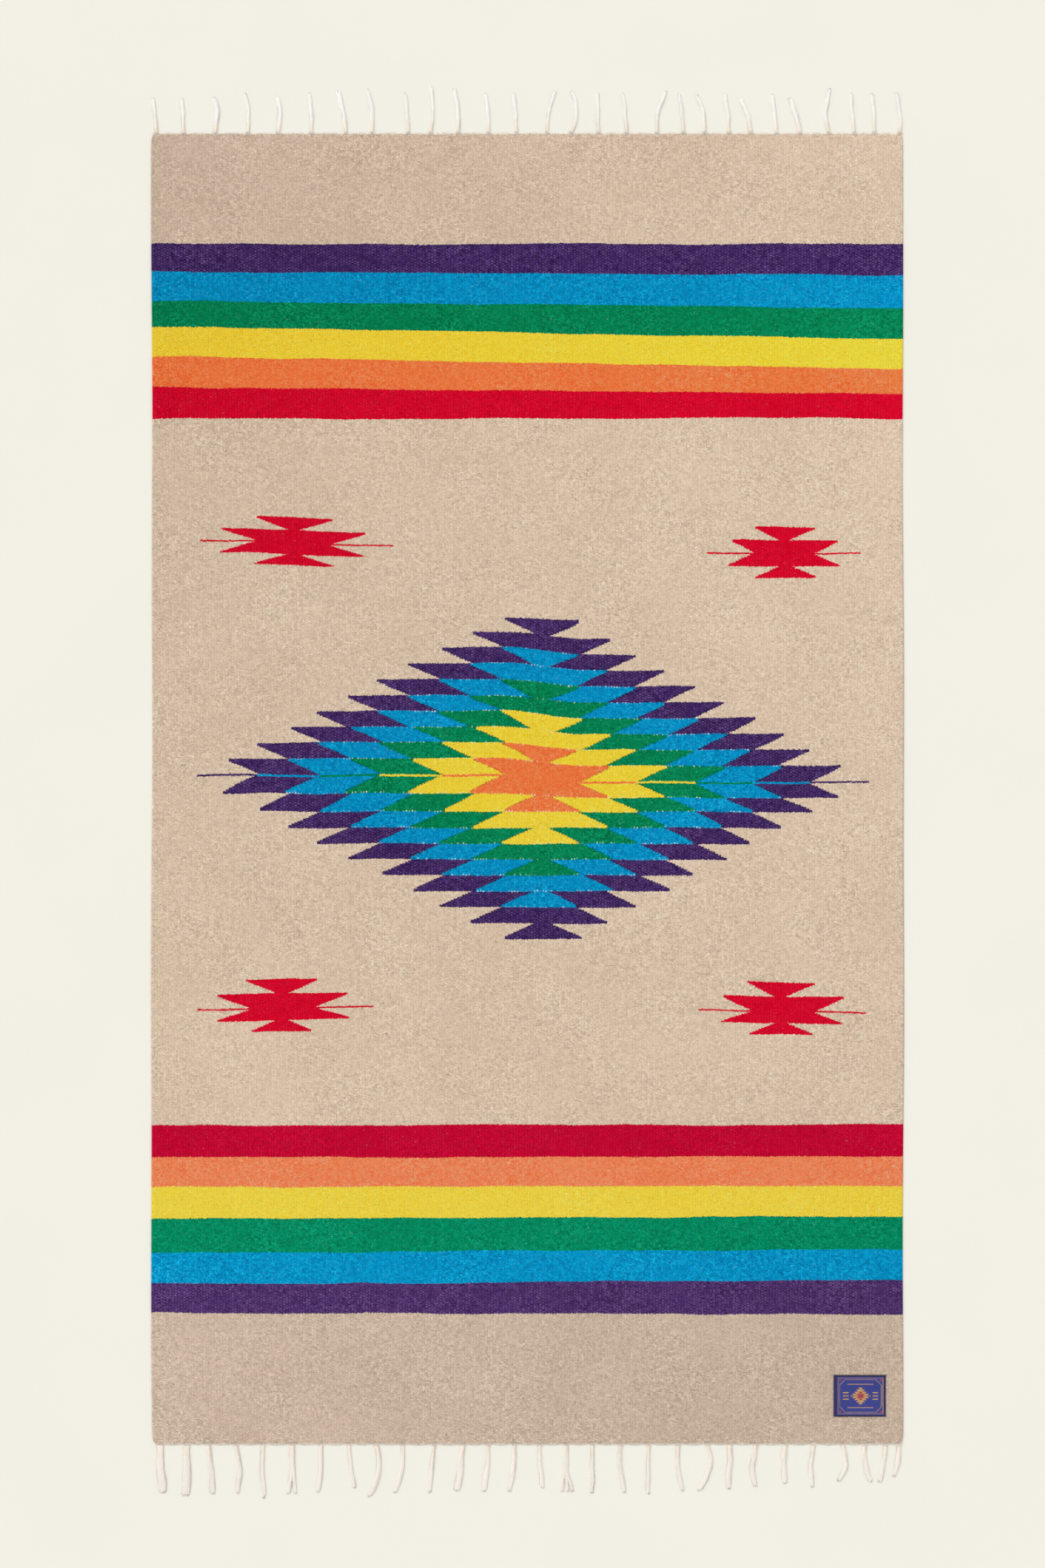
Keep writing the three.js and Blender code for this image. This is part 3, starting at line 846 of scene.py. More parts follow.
def loomed_web_material(settings):
    material, bench, surface = new_material("loomed_web", 0.95, 0.03, 0.3, 0.02)
    place = bench.place()
    rib = WEB_WIDTH / settings.ribs
    beads = bench.group("Weft beads", Position=place, Rib=rib, Bead=settings.bead / MM, Slub=1.3)
    drawn = bench.group("Loom wander", Position=place, Drift=4.0, Rib=rib, Tooth=0.9, Fray=1.6)
    x, y = bench.split(drawn["Position"])

    names = ["upper_natural"] + [edge["starts"] for edge in BAND_EDGES]
    band = band_number(bench, x, y)
    shade, _ = bench.swatches(band, [getattr(settings, name) for name in names])
    habits, deepens = bench.swatches(band, [weft_habits(name) for name in names])

    across = bench.less(x, float(LOZENGE["x"]))
    upper = bench.ramp(bench.less(y, float(LOZENGE["y"])), -65.0, 0.0)
    half = LOZENGE_DROP_WIDTH / 2
    upper = bench.times(upper, bench.ramp(y, 235.0, 275.0, 1.0, 0.4))
    drop = bench.times(bench.ramp(across, -half, half, -LOZENGE_DROP, LOZENGE_DROP), upper)
    figure = place_figure(
        bench, x, y, LOZENGE, drop, Tiers=float(LOZENGE["tiers"]), Line=LOZENGE["line"],
        Waist=float(LOZENGE_WAIST), Ragged=5.0,
    )
    nested = bench.math("DIVIDE", figure["Level"], float(TIERS_PER_COLOUR))
    nested = bench.math("MINIMUM", bench.math("FLOOR", nested), len(LOZENGE_COLOURS) - 1.0)
    inside = bench.math("GREATER_THAN", figure["Level"], 0.0)
    inner, _ = bench.swatches(nested, [getattr(settings, name) for name in LOZENGE_COLOURS])
    inner_habits, inner_deepens = bench.swatches(
        nested, [weft_habits(name) for name in LOZENGE_COLOURS]
    )
    shade = bench.blend_colour(inside, shade, inner)
    habits = bench.blend_colour(inside, habits, inner_habits)
    deepens = bench.blend(inside, deepens, inner_deepens)
    # Bare warp shows as pale dots where one tier ends, and a dark pit where two wefts meet.
    inner_edge = bench.math("COMPARE", figure["Level"], 6.0, 4.0)
    dots = bench.times(bench.ramp(figure["Edge"], 1.0, 2.2, 1.0, 0.0), inner_edge)
    dots = bench.times(dots, bench.ramp(beads["Crown"], 0.75, 0.97))
    dots = bench.times(dots, bench.ramp(beads["Chance"], 0.5, 0.8, 0.0, 0.9))
    dots = bench.times(dots, bench.ramp(bench.cloud(place, 0.025, 2.0), 0.4, 0.55, 0.15, 1.0))
    pits = bench.times(bench.ramp(figure["Join"], 0.2, 1.2, 1.0, 0.0), inside)
    pits = bench.times(pits, bench.ramp(bench.cloud(place, 0.5, 1.0), 0.4, 0.6, 0.0, 0.7))

    for motif in MOTIFS:
        side = bench.ramp(bench.less(x, float(motif["x"])), -160.0, 160.0, -1.0, 1.0)
        drop = bench.times(side, float(motif["drop"]))
        figure = place_figure(
            bench, x, y, motif, drop, Tiers=float(MOTIF_TIERS), Line=MOTIF_LINE,
            Waist=float(MOTIF_WAIST), Ragged=4.0,
        )
        inside = bench.math("GREATER_THAN", figure["Level"], 0.0)
        shade = bench.blend_colour(inside, shade, tuple(settings.red))
        habits = bench.blend_colour(inside, habits, weft_habits("red")[:3])

    heather, peep, lint = bench.split3(habits)
    patchy = bench.ramp(bench.cloud(place, 0.06, 3.0), 0.35, 0.65, 0.2, 1.2)
    peeping = bench.times(bench.times(beads["Gap"], peep), patchy)
    peeping = bench.math("MINIMUM", peeping, 1.0)
    shade = bench.blend_colour(peeping, shade, tuple(settings.peeping_warp))
    shade = bench.vector("SCALE", shade, bench.less(1.0, pits))
    # Painted light: the colour is made brighter towards one corner of the web's top end than elsewhere,
    # as light falling off across the web would make it.
    across, along = bench.split(place)
    slope = bench.math("MULTIPLY_ADD", along, PAINTED_LIGHT_SLOPE["turn"], PAINTED_LIGHT_SLOPE["slope"])
    shade = bench.vector("SCALE", shade, bench.math("MULTIPLY_ADD", across, slope, 1.0))
    # Each end's last millimetres are blended towards the pale lint colour: partly the pale warp loops
    # there, partly painted light that lifts the shade on the end's rounded face.
    web_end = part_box(WEB_NODE)[1].y / MM
    rim = bench.ramp(bench.math("ABSOLUTE", along), web_end - 3.5, web_end - 1.5, 0.0, 0.8)
    shade = bench.blend_colour(rim, shade, tuple(settings.lint))
    shade = bench.blend_colour(dots, shade, tuple(settings.lint))
    yarn = bench.group(
        "Spun yarn",
        Color=shade,
        Position=place,
        Relief=beads["Relief"],
        Chance=beads["Chance"],
        Heather=heather,
        Deepens=deepens,
        Depth=0.1,
        Dark_Flecks=0.5,
        Brightness=1.1,
        Lint=lint,
        Lint_Color=rgba(settings.lint),
    )
    bench.feed(surface["Base Color"], yarn["Color"])
    bench.feed(surface["Roughness"], bench.ramp(beads["Relief"], 0.0, 1.0, 0.98, 0.9))
    height = bench.add(bench.times(beads["Relief"], 0.28), yarn["Fuzz"])
    bench.feed(surface["Normal"], bench.bump(height, settings.bead_relief))
    return material


class SERAPE_OT_weave_web(bpy.types.Operator):
    """Weave the web with its bands, lozenge and motifs"""

    bl_idname = "serape.weave_web"
    bl_label = "Weave the web"

    def execute(self, context):
        settings = context.scene.serape_web
        vertices, faces = web_mesh(settings)
        web = new_piece("loomed_web", vertices, faces, loomed_web_material(settings))
        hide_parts(WEB_NODE)
        return {"FINISHED"}


# ---------------------------------------------------------------------------------------------
# The fringe
# ---------------------------------------------------------------------------------------------


def bunch_stations(node):
    """The CAD bunch's sections from its root to its tip: the middle of each and its width."""
    rings = {}
    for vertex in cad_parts[node].data.vertices:
        rings.setdefault(round(vertex.co.y, 5), []).append(vertex.co)
    stations = []
    for y in sorted(rings, key=abs):
        xs = [corner.x for corner in rings[y]]
        top = max(corner.z for corner in rings[y])
        middle = Vector(((min(xs) + max(xs)) / 2, y, top / 2))
        stations.append({"at": middle, "width": max(xs) - min(xs), "height": top})
    # The solid narrows to its tip, and real yarn is cut off blunt.
    stations[-1]["width"] = 0.95 * stations[-2]["width"]
    return stations


def between(stations, along):
    """The bunch's middle, width and height at a share of its length, eased between sections."""
    place = min(max(along, 0.0), 1.0) * (len(stations) - 1)
    index = min(int(place), len(stations) - 2)
    share_of = place - index
    a, b = stations[index], stations[index + 1]
    before = stations[max(index - 1, 0)]["at"]
    after = stations[min(index + 2, len(stations) - 1)]["at"]
    slope_a = (b["at"] - before) / 2
    slope_b = (after - a["at"]) / 2
    t, t2, t3 = share_of, share_of**2, share_of**3
    middle = (
        a["at"] * (2 * t3 - 3 * t2 + 1)
        + slope_a * (t3 - 2 * t2 + t)
        + b["at"] * (3 * t2 - 2 * t3)
        + slope_b * (t3 - t2)
    )
    width = a["width"] + (b["width"] - a["width"]) * t
    height = a["height"] + (b["height"] - a["height"]) * t
    return middle, width, height


def bunch_line(stations, part, along):
    """Where one part of a bunch runs: it leaves the others' side where the bunch falls apart."""
    middle, width, height = between(stations, along)
    apart = max(0.0, along - part["leaves_at"]) / (1 - part["leaves_at"])
    aside = part["aside"] * (0.15 + 0.85 * apart**1.2)
    curl = part["curl"] * max(0.0, along - 0.7) ** 2
    sway = noise.noise(Vector((part["seed"], along * 2.6, 5.0))) * part["sway"] * min(1.0, along * 3)
    middle.x += aside + curl + sway
    return middle, width / part["shares"] ** 0.8, height


def bunch_body(stations, part, outward, settings, rng):
    """One part of a bunch as a closed loft, with its yarns as soft ridges and a blunt, uneven end."""
    rings, sides = 34, 28
    yarns = max(3, round(bunch_line(stations, part, 0.6)[1] / settings.yarn))
    late = [rng.uniform(-1.0, 1.0) for _ in range(yarns * 2)]
    turn = rng.uniform(0, math.pi)
    turns = rng.uniform(0.3, 0.7) * rng.choice((-1, 1)) * math.pi
    whole = abs(stations[-1]["at"].y - stations[0]["at"].y)
    start = -1.5 * MM / whole
    vertices = []
    for ring in range(rings):
        share_of = ring / (rings - 1)
        along = start + (1 - start) * share_of ** 0.9
        middle, width, height = bunch_line(stations, part, along)
        from_root = max(0.0, along * whole)
        flare = max(0.0, 1 - from_root / settings.gather) ** 2
        width *= 0.78 + 0.45 * flare + 0.12 * min(along, 0.9)
        height *= 1 - 0.35 * flare
        puff = noise.noise(Vector((part["seed"], along * 6, 1.0)))
        width += 1.3 * MM * puff
        end = max(0.0, (share_of - 0.95) / 0.05)
        shrink = math.sqrt(max(0.0, 1 - 0.8 * end**2))
        for side in range(sides):
            angle = 2 * math.pi * side / sides
            twist = yarns * angle + turns * along * yarns
            ridge = 1 - 0.14 * abs(math.cos(twist / 2 + turn)) ** 3
            x = math.cos(angle) * width / 2 * ridge * shrink
            z = math.sin(angle) * height / 2 * ridge * shrink
            reach = late[int(yarns * 2 * side / sides)] * 2.2 * MM * max(0.0, share_of - 0.85) / 0.15
            y = middle.y + outward * reach
            vertices.append(Vector((middle.x + x, y, height / 2 + z + 0.1 * MM)))
    faces = []
    for ring in range(rings - 1):
        for side in range(sides):
            a = ring * sides + side
            b = ring * sides + (side + 1) % sides
            quad = (a, b, b + sides, a + sides)
            faces.append(quad if outward < 0 else quad[::-1])
    first, last = tuple(range(sides)), tuple(range((rings - 1) * sides, rings * sides))
    faces += [first[::-1], last] if outward < 0 else [first, last[::-1]]
    return vertices, faces


def loose_yarn(stations, part, outward, settings, rng):
    """A single yarn that lies on the outside of its bunch."""
    turn = rng.uniform(0, 2 * math.pi)
    turns = rng.uniform(-0.7, 0.7)
    ends_at = rng.uniform(0.9, 1.03)
    radius = settings.yarn * rng.uniform(0.26, 0.36)
    drift = rng.uniform(-0.6, 0.6) * MM
    steps = 30
    path = []
    for step in range(steps + 1):
        along = ends_at * step / steps
        middle, width, height = bunch_line(stations, part, min(along, 1.0))
        angle = turn + turns * 2 * math.pi * along
        x = middle.x + math.cos(angle) * width * 0.47 + drift * max(0.0, along - 0.6) * 4
        z = height / 2 + math.sin(angle) * height * 0.47
        y = middle.y + outward * max(0.0, along - 1.0) * 60 * MM
        path.append(Vector((x, y, max(z, radius))))
    radii = [radius * (1 - 0.4 * (i / steps) ** 5) for i in range(steps + 1)]
    return tube(path, radii, 6, 2 * math.pi / settings.twist, 0.75)


def root_yarn(stations, feed, outward, settings, rng):
    """A warp that comes out of the web's end beside its bunch and bends into it."""
    root, _, _ = between(stations, 0.0)
    in_web = rng.uniform(2.5, 4.5) * MM
    joins = settings.gather * rng.uniform(0.8, 1.2)
    radius = settings.yarn * 0.34
    path = []
    for step in range(9):
        t = step / 8
        y = root.y + outward * (-in_web + (in_web + joins) * t)
        away = max(0.0, 1 - max(0.0, (t - 0.15) / 0.85)) ** 1.8
        ahead, _, _ = between(stations, max(0.0, (y - root.y) * outward) / USUAL_REACH)
        x = ahead.x + feed * (0.12 + 0.88 * away)
        arch = web_thickness() + lift(x, y) + 0.35 * MM - t * 1.2 * MM
        z = arch - 1.2 * MM * max(0.0, 1 - t / 0.12)
        path.append(Vector((x, y, z)))
    return tube(path, [radius] * 9, 6, 2 * math.pi / settings.twist, 0.75)


def tip_hair(stations, part, rng):
    """A loose fibre at the end of a bunch."""
    tip, width, height = bunch_line(stations, part, 0.97)
    before, _, _ = bunch_line(stations, part, 0.85)
    heading = (tip - before).normalized()
    heading.z = 0
    start = tip + Vector((rng.uniform(-0.42, 0.42) * width, 0, rng.uniform(-0.3, 0.2) * height))
    fan = Vector((rng.uniform(-0.5, 0.5), 0, rng.uniform(-0.1, 0.15)))
    reach = rng.uniform(2.0, 4.5) * MM
    path = [start + (heading + fan * t) * reach * t for t in (0, 0.35, 0.7, 1.0)]
    for point in path:
        point.z = max(point.z, 0.25 * MM)
    return tube(path, [0.24 * MM, 0.2 * MM, 0.15 * MM, 0.06 * MM], 4)


def bunch_mesh(node, settings, rng):
    """A bunch of warp: its body, or bodies where it falls apart, with loose yarns and fibres."""
    stations = bunch_stations(node)
    outward = 1 if stations[0]["at"].y > 0 else -1
    splits = SPLIT_BUNCHES.get(node, (0.0,))
    pieces = []
    for aside in splits:
        part = {
            "aside": aside * MM,
            "shares": len(splits),
            "leaves_at": rng.uniform(0.45, 0.55),
            "curl": rng.uniform(-10.0, 10.0) * MM,
            "sway": 2.4 * MM,
            "seed": rng.uniform(0, 50),
        }
        pieces.append(bunch_body(stations, part, outward, settings, rng))
        for _ in range(LOOSE_YARNS):
            pieces.append(loose_yarn(stations, part, outward, settings, rng))
        for _ in range(TIP_HAIRS):
            pieces.append(tip_hair(stations, part, rng))
    for index in range(ROOT_YARNS):
        place = 2 * index / (ROOT_YARNS - 1) - 1
        feed = place * settings.gather * rng.uniform(0.7, 1.0)
        pieces.append(root_yarn(stations, feed, outward, settings, rng))
    return gather_parts(pieces)


def warp_yarn_material(settings):
    material, bench, surface = new_material("warp_yarn", 0.95, 0.35, 0.5, 0.03)
    place = bench.place()
    _, y = bench.split(place)
    from_middle = bench.math("ABSOLUTE", y)
    web_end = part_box(WEB_NODE)[1].y / MM
    upper = bench.math("GREATER_THAN", y, 0.0)
    shade = bench.blend_colour(upper, rgba(settings.lower_undyed), tuple(settings.undyed))
    outwards = bench.ramp(from_middle, web_end, web_end + 30.0)
    shade = bench.blend_colour(outwards, tuple(settings.root), shade)
    fibres = bench.cloud(bench.vector("MULTIPLY", place, (1.6, 0.22, 1.6)), 1.0, 3.0, bend=0.4)
    yarn = bench.group(
        "Spun yarn",
        Color=shade,
        Position=place,
        Relief=bench.ramp(fibres, 0.3, 0.55),
        Chance=0.5,
        Heather=0.1,
        Depth=0.08,
        Dark_Flecks=0.0,
        Lint=0.3,
        Lint_Color=(1.0, 1.0, 1.0, 1.0),
    )
    bench.feed(surface["Base Color"], yarn["Color"])
    bench.feed(surface["Normal"], bench.bump(fibres, 0.2 * MM))
    return material


class SERAPE_OT_tie_fringe(bpy.types.Operator):
    """Lay the loose bunches of warp at both ends of the web"""

    bl_idname = "serape.tie_fringe"
    bl_label = "Lay the fringe"

    def execute(self, context):
        settings = context.scene.serape_fringe
        material = warp_yarn_material(settings)
        nodes = sorted(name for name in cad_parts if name.startswith("tassel_"))
        for index, node in enumerate(nodes):
            rng = random.Random(settings.seed * 1000 + index)
            vertices, faces = bunch_mesh(node, settings, rng)
            name = node.replace("tassel", "warp_bunch")
            bunch = new_piece(name, vertices, faces, material)
            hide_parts(node)
        return {"FINISHED"}


# ---------------------------------------------------------------------------------------------
# The label
# ---------------------------------------------------------------------------------------------


def label_mesh(settings):
    """The label's vertices and faces: a thin slab with folded hems and slightly uneven edges."""
    low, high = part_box(LABEL_NODE)
    middle = (low + high) / 2
    half = (high - low) / 2
    columns, rows = 46, 38
    corner = 1.6 * MM
    upper, under = [], []
    for r in range(rows):
        v = 2 * r / (rows - 1) - 1
        for c in range(columns):
            u = 2 * c / (columns - 1) - 1
            x, y = u * half.x, v * half.y
            over_x = max(abs(x) - (half.x - corner), 0)
            over_y = max(abs(y) - (half.y - corner), 0)
            outside = math.hypot(over_x, over_y) - corner
            if outside > 0:
                x -= math.copysign(outside * 0.7, x)
                y -= math.copysign(outside * 0.7, y)
            edge_x = 0.35 * MM * noise.noise(Vector((y * 90, 3.0, 0))) * abs(u) ** 12
            edge_y = 0.45 * MM * noise.noise(Vector((x * 160, 7.0, 0))) * abs(v) ** 12
            x, y = x + edge_x, y + edge_y
            from_edge = min(half.x - abs(x), half.y - abs(y))
            from_hem = half.y - abs(y)
            pillow = 0.25 * MM * min(1.0, max(from_edge, 0) / (2 * MM))
            hem = 0.3 * MM if from_hem < settings.hem else 0.0
            held = 0.45 * MM if from_edge < 0.8 * MM else 0.0
            ripple = 0.12 * MM * noise.noise(Vector((x * 70, y * 70, 1.0)))
            at_x, at_y = middle.x + x, middle.y + y
            base = low.z + lift(at_x, at_y)
            top = base + (high.z - low.z) + pillow + hem + ripple - held
            upper.append((at_x, at_y, top))
            under.append((at_x, at_y, base))
    number = [[r * columns + c for c in range(columns)] for r in range(rows)]
    below = rows * columns
    faces = []
    for r in range(rows - 1):
        for c in range(columns - 1):
            a, b, d, e = number[r][c], number[r][c + 1], number[r + 1][c + 1], number[r + 1][c]
            faces.append((a, b, d, e))
            faces.append((a + below, e + below, d + below, b + below))
    rim = number[0] + [row[-1] for row in number[1:]]
    rim += number[-1][-2::-1] + [row[0] for row in number[-2:0:-1]]
    for first, second in zip(rim, rim[1:] + rim[:1]):
        faces.append((first, first + below, second + below, second))
    return upper + under, faces


def stitches_mesh(settings, rng):
    """Overcast stitches that hold the label's top and bottom edges down."""
    low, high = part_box(LABEL_NODE)
    parts = []
    count = round((high.x - low.x) / settings.stitch)
    for edge_y, outward in ((high.y, 1), (low.y, -1)):
        for index in range(count + 1):
            x = low.x + (high.x - low.x) * index / count
            lean = settings.stitch * rng.uniform(0.45, 0.75)
            bite = rng.uniform(1.5, 2.3) * MM
            over = rng.uniform(0.5, 1.0) * MM
            rise = lift(x, edge_y)
            label_top = high.z + rise + 0.35 * MM
            path = [
                Vector((x, edge_y - outward * bite, label_top - 0.5 * MM)),
                Vector((x + lean * 0.2, edge_y - outward * bite * 0.8, label_top + 0.25 * MM)),
                Vector((x + lean * 0.6, edge_y - outward * 0.3 * MM, label_top + 0.15 * MM)),
                Vector((x + lean * 0.85, edge_y + outward * over * 0.7, low.z + rise + 0.4 * MM)),
                Vector((x + lean, edge_y + outward * over, low.z + rise - 0.7 * MM)),
            ]
            parts.append(tube(path, [0.3 * MM, 0.38 * MM, 0.4 * MM, 0.38 * MM, 0.3 * MM], 7))
    return gather_parts(parts)


def outline(bench, x, y, half_width, half_height, chamfer, thickness):
    """A line that follows a rectangle with its corners cut off."""
    beyond_x = bench.less(bench.math("ABSOLUTE", x), half_width)
    beyond_y = bench.less(bench.math("ABSOLUTE", y), half_height)
    corner = bench.math("ABSOLUTE", x)
    corner = bench.less(bench.add(corner, bench.math("ABSOLUTE", y)), half_width + half_height - chamfer)
    corner = bench.times(corner, 0.707)
    distance = bench.math("MAXIMUM", bench.math("MAXIMUM", beyond_x, beyond_y), corner)
    return bench.math("LESS_THAN", bench.math("ABSOLUTE", distance), thickness / 2)


def label_material(settings):
    """A fine jacquard patch: two thin frames, a stepped lozenge between bars, corner lozenges."""
    low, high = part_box(LABEL_NODE)
    middle = (low + high) / 2 / MM
    half = (high - low) / 2 / MM
    material, bench, surface = new_material("woven_label", 0.62, 0.25, 0.4, 0.35)
    place = bench.vector("SUBTRACT", bench.place(), (middle.x, middle.y, 0.0))
    beads = bench.group("Weft beads", Position=place, Rib=0.62, Bead=0.7, Slub=0.05)
    x, y = bench.split(beads["Centre"])
    ground, border = tuple(settings.ground), tuple(settings.border)
    figure, accent = tuple(settings.figure), tuple(settings.accent)

    from_right = bench.less(x, half.x - LABEL_EDGES["right"])
    side = bench.math("MAXIMUM", from_right, bench.less(LABEL_EDGES["left"] - half.x, x))
    shade = bench.blend_colour(bench.math("GREATER_THAN", side, 0.0), rgba(ground), border)
    shifted = bench.less(x, LABEL_CENTRE)
    away_x, away_y = bench.math("ABSOLUTE", shifted), bench.math("ABSOLUTE", y)
    ends = bench.math("GREATER_THAN", away_y, half.y - LABEL_EDGES["ends"])
    shade = bench.blend_colour(ends, shade, border)
    lines = 0.0
    for line in LABEL_FRAMES:
        reach_x, reach_y = half.x - line["x"], half.y - line["y"]
        drawn = outline(bench, shifted, y, reach_x, reach_y, line["cut"], LABEL_LINE)
        lines = bench.math("MAXIMUM", lines, drawn)
    shade = bench.blend_colour(bench.times(lines, 0.75), shade, figure)

    corner_x = bench.less(half.x - 9.6, away_x)
    corner_y = bench.less(half.y - 8.0, away_y)
    from_corner = bench.add(bench.math("ABSOLUTE", corner_x), bench.math("ABSOLUTE", corner_y))
    shade = bench.blend_colour(bench.math("LESS_THAN", from_corner, 2.4), shade, accent)

    lozenge = bench.group(
        "Stepped lozenge",
        X=shifted,
        Y=y,
        Tip=3.6,
        Tip_Low=3.6,
        Waist=0.8,
        Step_Left=3.2,
        Step_Right=3.2,
        Tiers=4.0,
        Rise=13.5,
        Fall=13.5,
        Line=0.4,
        Line_Left=16.4,
        Line_Right=16.4,
        Ragged=0.0,
    )
    drawn = bench.math("GREATER_THAN", lozenge["Level"], 0.0)
    shade = bench.blend_colour(drawn, shade, figure)
    core = bench.math("GREATER_THAN", lozenge["Level"], 2.0)
    shade = bench.blend_colour(core, shade, accent)
    # Three bars stand at each side of the lozenge, and a rule over and under it.
    apart = LABEL_BARS["pitch"] / 2
    bar_y = bench.less(bench.math("PINGPONG", bench.add(y, apart), apart), apart / 2)
    bar_row = bench.math("GREATER_THAN", bar_y, apart / 2 - LABEL_BARS["height"] / 2)
    near = bench.math("LESS_THAN", away_y, LABEL_BARS["to"])
    start = bench.math("GREATER_THAN", away_x, LABEL_BARS["start"])
    stop = bench.math("LESS_THAN", away_x, LABEL_BARS["stop"])
    bars = bench.times(bench.times(bar_row, near), bench.times(start, stop))
    shade = bench.blend_colour(bars, shade, figure)
    from_rule = bench.math("ABSOLUTE", bench.less(away_y, LABEL_RULES["y"]))
    rule = bench.math("LESS_THAN", from_rule, LABEL_RULES["height"] / 2)
    rule = bench.times(rule, bench.math("LESS_THAN", away_x, LABEL_RULES["reach"]))
    shade = bench.blend_colour(rule, shade, figure)

    yarn = bench.group(
        "Spun yarn",
        Color=shade,
        Position=place,
        Relief=beads["Relief"],
        Chance=beads["Chance"],
        Heather=0.22,
        Depth=0.25,
        Dark_Flecks=0.1,
        Lint=0.1,
        Lint_Color=rgba(figure),
    )
    bench.feed(surface["Base Color"], yarn["Color"])
    bench.feed(surface["Normal"], bench.bump(beads["Relief"], 0.12 * MM))
    return material


def thread_material(settings):
    material, bench, surface = new_material("sewing_thread", 0.55, 0.1, 0.4, 0.4)
    place = bench.place()
    yarn = bench.group(
        "Spun yarn",
        Color=rgba(settings.thread),
        Position=place,
        Relief=bench.cloud(place, 2.2, 1.0),
        Chance=0.5,
        Heather=0.6,
        Depth=0.4,
        Dark_Flecks=0.1,
        Lint=0.35,
        Lint_Color=rgba(settings.accent),
    )
    bench.feed(surface["Base Color"], yarn["Color"])
    bench.feed(surface["Normal"], bench.bump(yarn["Fuzz"], 0.1 * MM))
    return material


class SERAPE_OT_sew_label(bpy.types.Operator):
    """Sew the small woven label on near the corner"""

    bl_idname = "serape.sew_label"
    bl_label = "Sew on the label"

    def execute(self, context):
        settings = context.scene.serape_label
        vertices, faces = label_mesh(settings)
        label = new_piece("sewn_label", vertices, faces, label_material(settings))
        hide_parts(LABEL_NODE)
        vertices, faces = stitches_mesh(settings, random.Random(5))
        new_piece("label_stitches", vertices, faces, thread_material(settings))
        return {"FINISHED"}


# ---------------------------------------------------------------------------------------------
# The stage
# ---------------------------------------------------------------------------------------------


def floor_material(settings):
    material, bench, surface = new_material("pale_floor", 0.95, 0.0, 0.5, 0.1)
    place = bench.place()
    mottle = bench.ramp(bench.cloud(place, 0.004, 3.0), 0.3, 0.7, 0.992, 1.0)
    bench.feed(surface["Base Color"], bench.vector("SCALE", rgba(settings.floor)[:3], mottle))
    bench.feed(surface["Normal"], bench.bump(bench.cloud(place, 0.8, 2.0), 0.02 * MM))
    return material


def lay_floor(settings):
    half = settings.floor_size / 2
    corners = [(-half, -half), (half, -half), (half, half), (-half, half)]
    below = -0.2 * MM
    mesh = bpy.data.meshes.new("studio_floor")
    mesh.from_pydata([(x, y, below) for x, y in corners], [], [(0, 1, 2, 3)])
    mesh.materials.append(floor_material(settings))
    floor = bpy.data.objects.new("studio_floor", mesh)
    bpy.context.scene.collection.objects.link(floor)


def light_studio(settings):
    world = bpy.data.worlds.new("soft_studio")
    world.use_nodes = True
    bench = Bench(world.node_tree)
    backdrop = world.node_tree.nodes["Background"].inputs
    path = bench.node("ShaderNodeLightPath")
    seen = bench.blend_colour(
        path.outputs["Is Camera Ray"], rgba((1, 1, 1)), tuple(settings.floor)
    )
    bench.feed(backdrop["Color"], seen)
    strength = bench.blend(path.outputs["Is Camera Ray"], settings.ambient, 1.0)
    bench.feed(backdrop["Strength"], strength)
    bpy.context.scene.world = world

    key = bpy.data.lights.new("key_light", "SUN")
    key.energy = settings.key * math.pi / math.sin(settings.key_height)
    key.angle = settings.key_softness
    lamp = bpy.data.objects.new("key_light", key)
    towards = Vector((
        math.cos(settings.key_from) * math.cos(settings.key_height),
        math.sin(settings.key_from) * math.cos(settings.key_height),
        math.sin(settings.key_height),
    ))
    lamp.location = towards * 4
    lamp.rotation_euler = (-towards).to_track_quat("-Z", "Y").to_euler()
    bpy.context.scene.collection.objects.link(lamp)


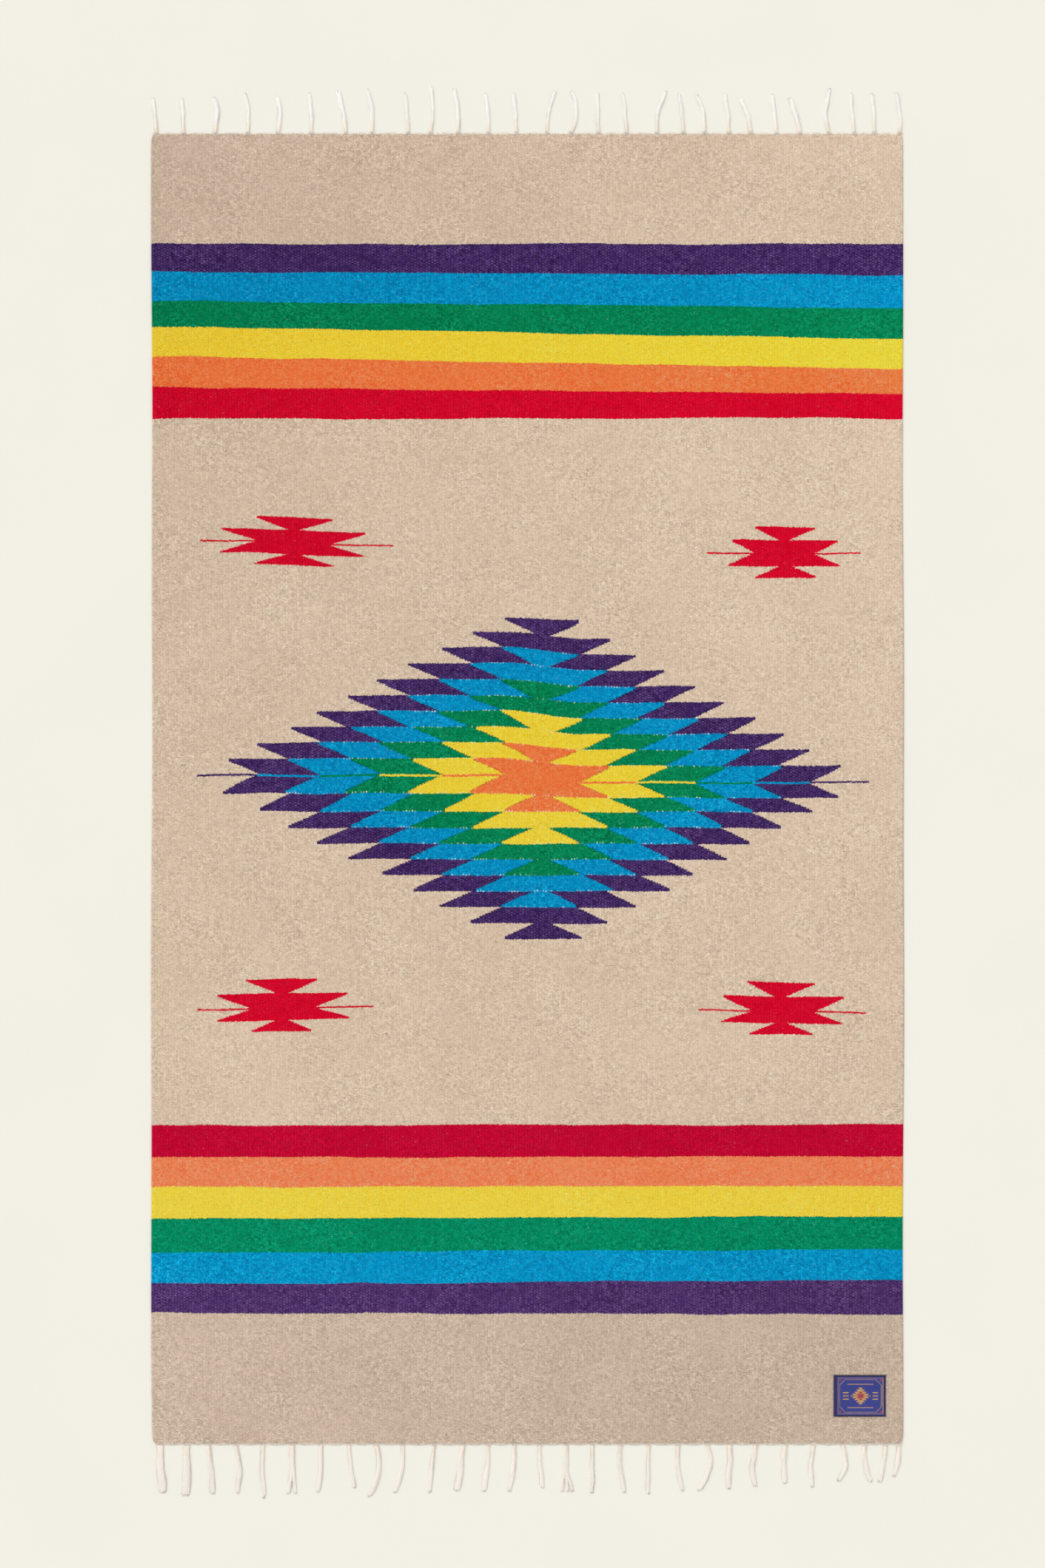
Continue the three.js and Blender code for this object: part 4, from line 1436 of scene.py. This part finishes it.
def set_camera(settings):
    data = bpy.data.cameras.new("overhead_camera")
    data.lens = settings.lens
    data.sensor_width = 36
    distance = settings.view_height / data.sensor_width * settings.lens
    data.clip_end = 4 * distance
    camera = bpy.data.objects.new("overhead_camera", data)
    camera.location = (settings.view_x, settings.view_y, distance + web_thickness())
    bpy.context.scene.collection.objects.link(camera)
    bpy.context.scene.camera = camera


class SERAPE_OT_set_stage(bpy.types.Operator):
    """Lay the pale floor, set the lights and hang the camera over the serape"""

    bl_idname = "serape.set_stage"
    bl_label = "Set the stage"

    def execute(self, context):
        settings = context.scene.serape_stage
        set_camera(settings)
        lay_floor(settings)
        light_studio(settings)
        context.scene.view_settings.view_transform = "Standard"
        return {"FINISHED"}


# ---------------------------------------------------------------------------------------------
# The add-on
# ---------------------------------------------------------------------------------------------


class SERAPE_PT_making(bpy.types.Panel):
    """The steps that make the serape, in order"""

    bl_idname = "SERAPE_PT_making"
    bl_label = "Hand-loomed serape"
    bl_space_type = "VIEW_3D"
    bl_region_type = "UI"
    bl_category = "Serape"

    def draw(self, context):
        for operator, settings in STEPS:
            box = self.layout.box()
            box.operator(operator.bl_idname)
            group = getattr(context.scene, settings)
            for name in group.__annotations__:
                box.prop(group, name)


SETTINGS = {
    "serape_stage": SerapeStageSettings,
    "serape_web": SerapeWebSettings,
    "serape_fringe": SerapeFringeSettings,
    "serape_label": SerapeLabelSettings,
}
STEPS = (
    (SERAPE_OT_set_stage, "serape_stage"),
    (SERAPE_OT_weave_web, "serape_web"),
    (SERAPE_OT_tie_fringe, "serape_fringe"),
    (SERAPE_OT_sew_label, "serape_label"),
)
CLASSES = (*SETTINGS.values(), *(operator for operator, _ in STEPS), SERAPE_PT_making)


def register():
    for each in CLASSES:
        bpy.utils.register_class(each)
    for name, group in SETTINGS.items():
        setattr(bpy.types.Scene, name, PointerProperty(type=group))


def unregister():
    for name in SETTINGS:
        delattr(bpy.types.Scene, name)
    for each in reversed(CLASSES):
        bpy.utils.unregister_class(each)


def main():
    register()
    make_effect_groups()
    bpy.ops.serape.set_stage()
    bpy.ops.serape.weave_web()
    bpy.ops.serape.tie_fringe()
    bpy.ops.serape.sew_label()


if __name__ == "__main__":
    main()
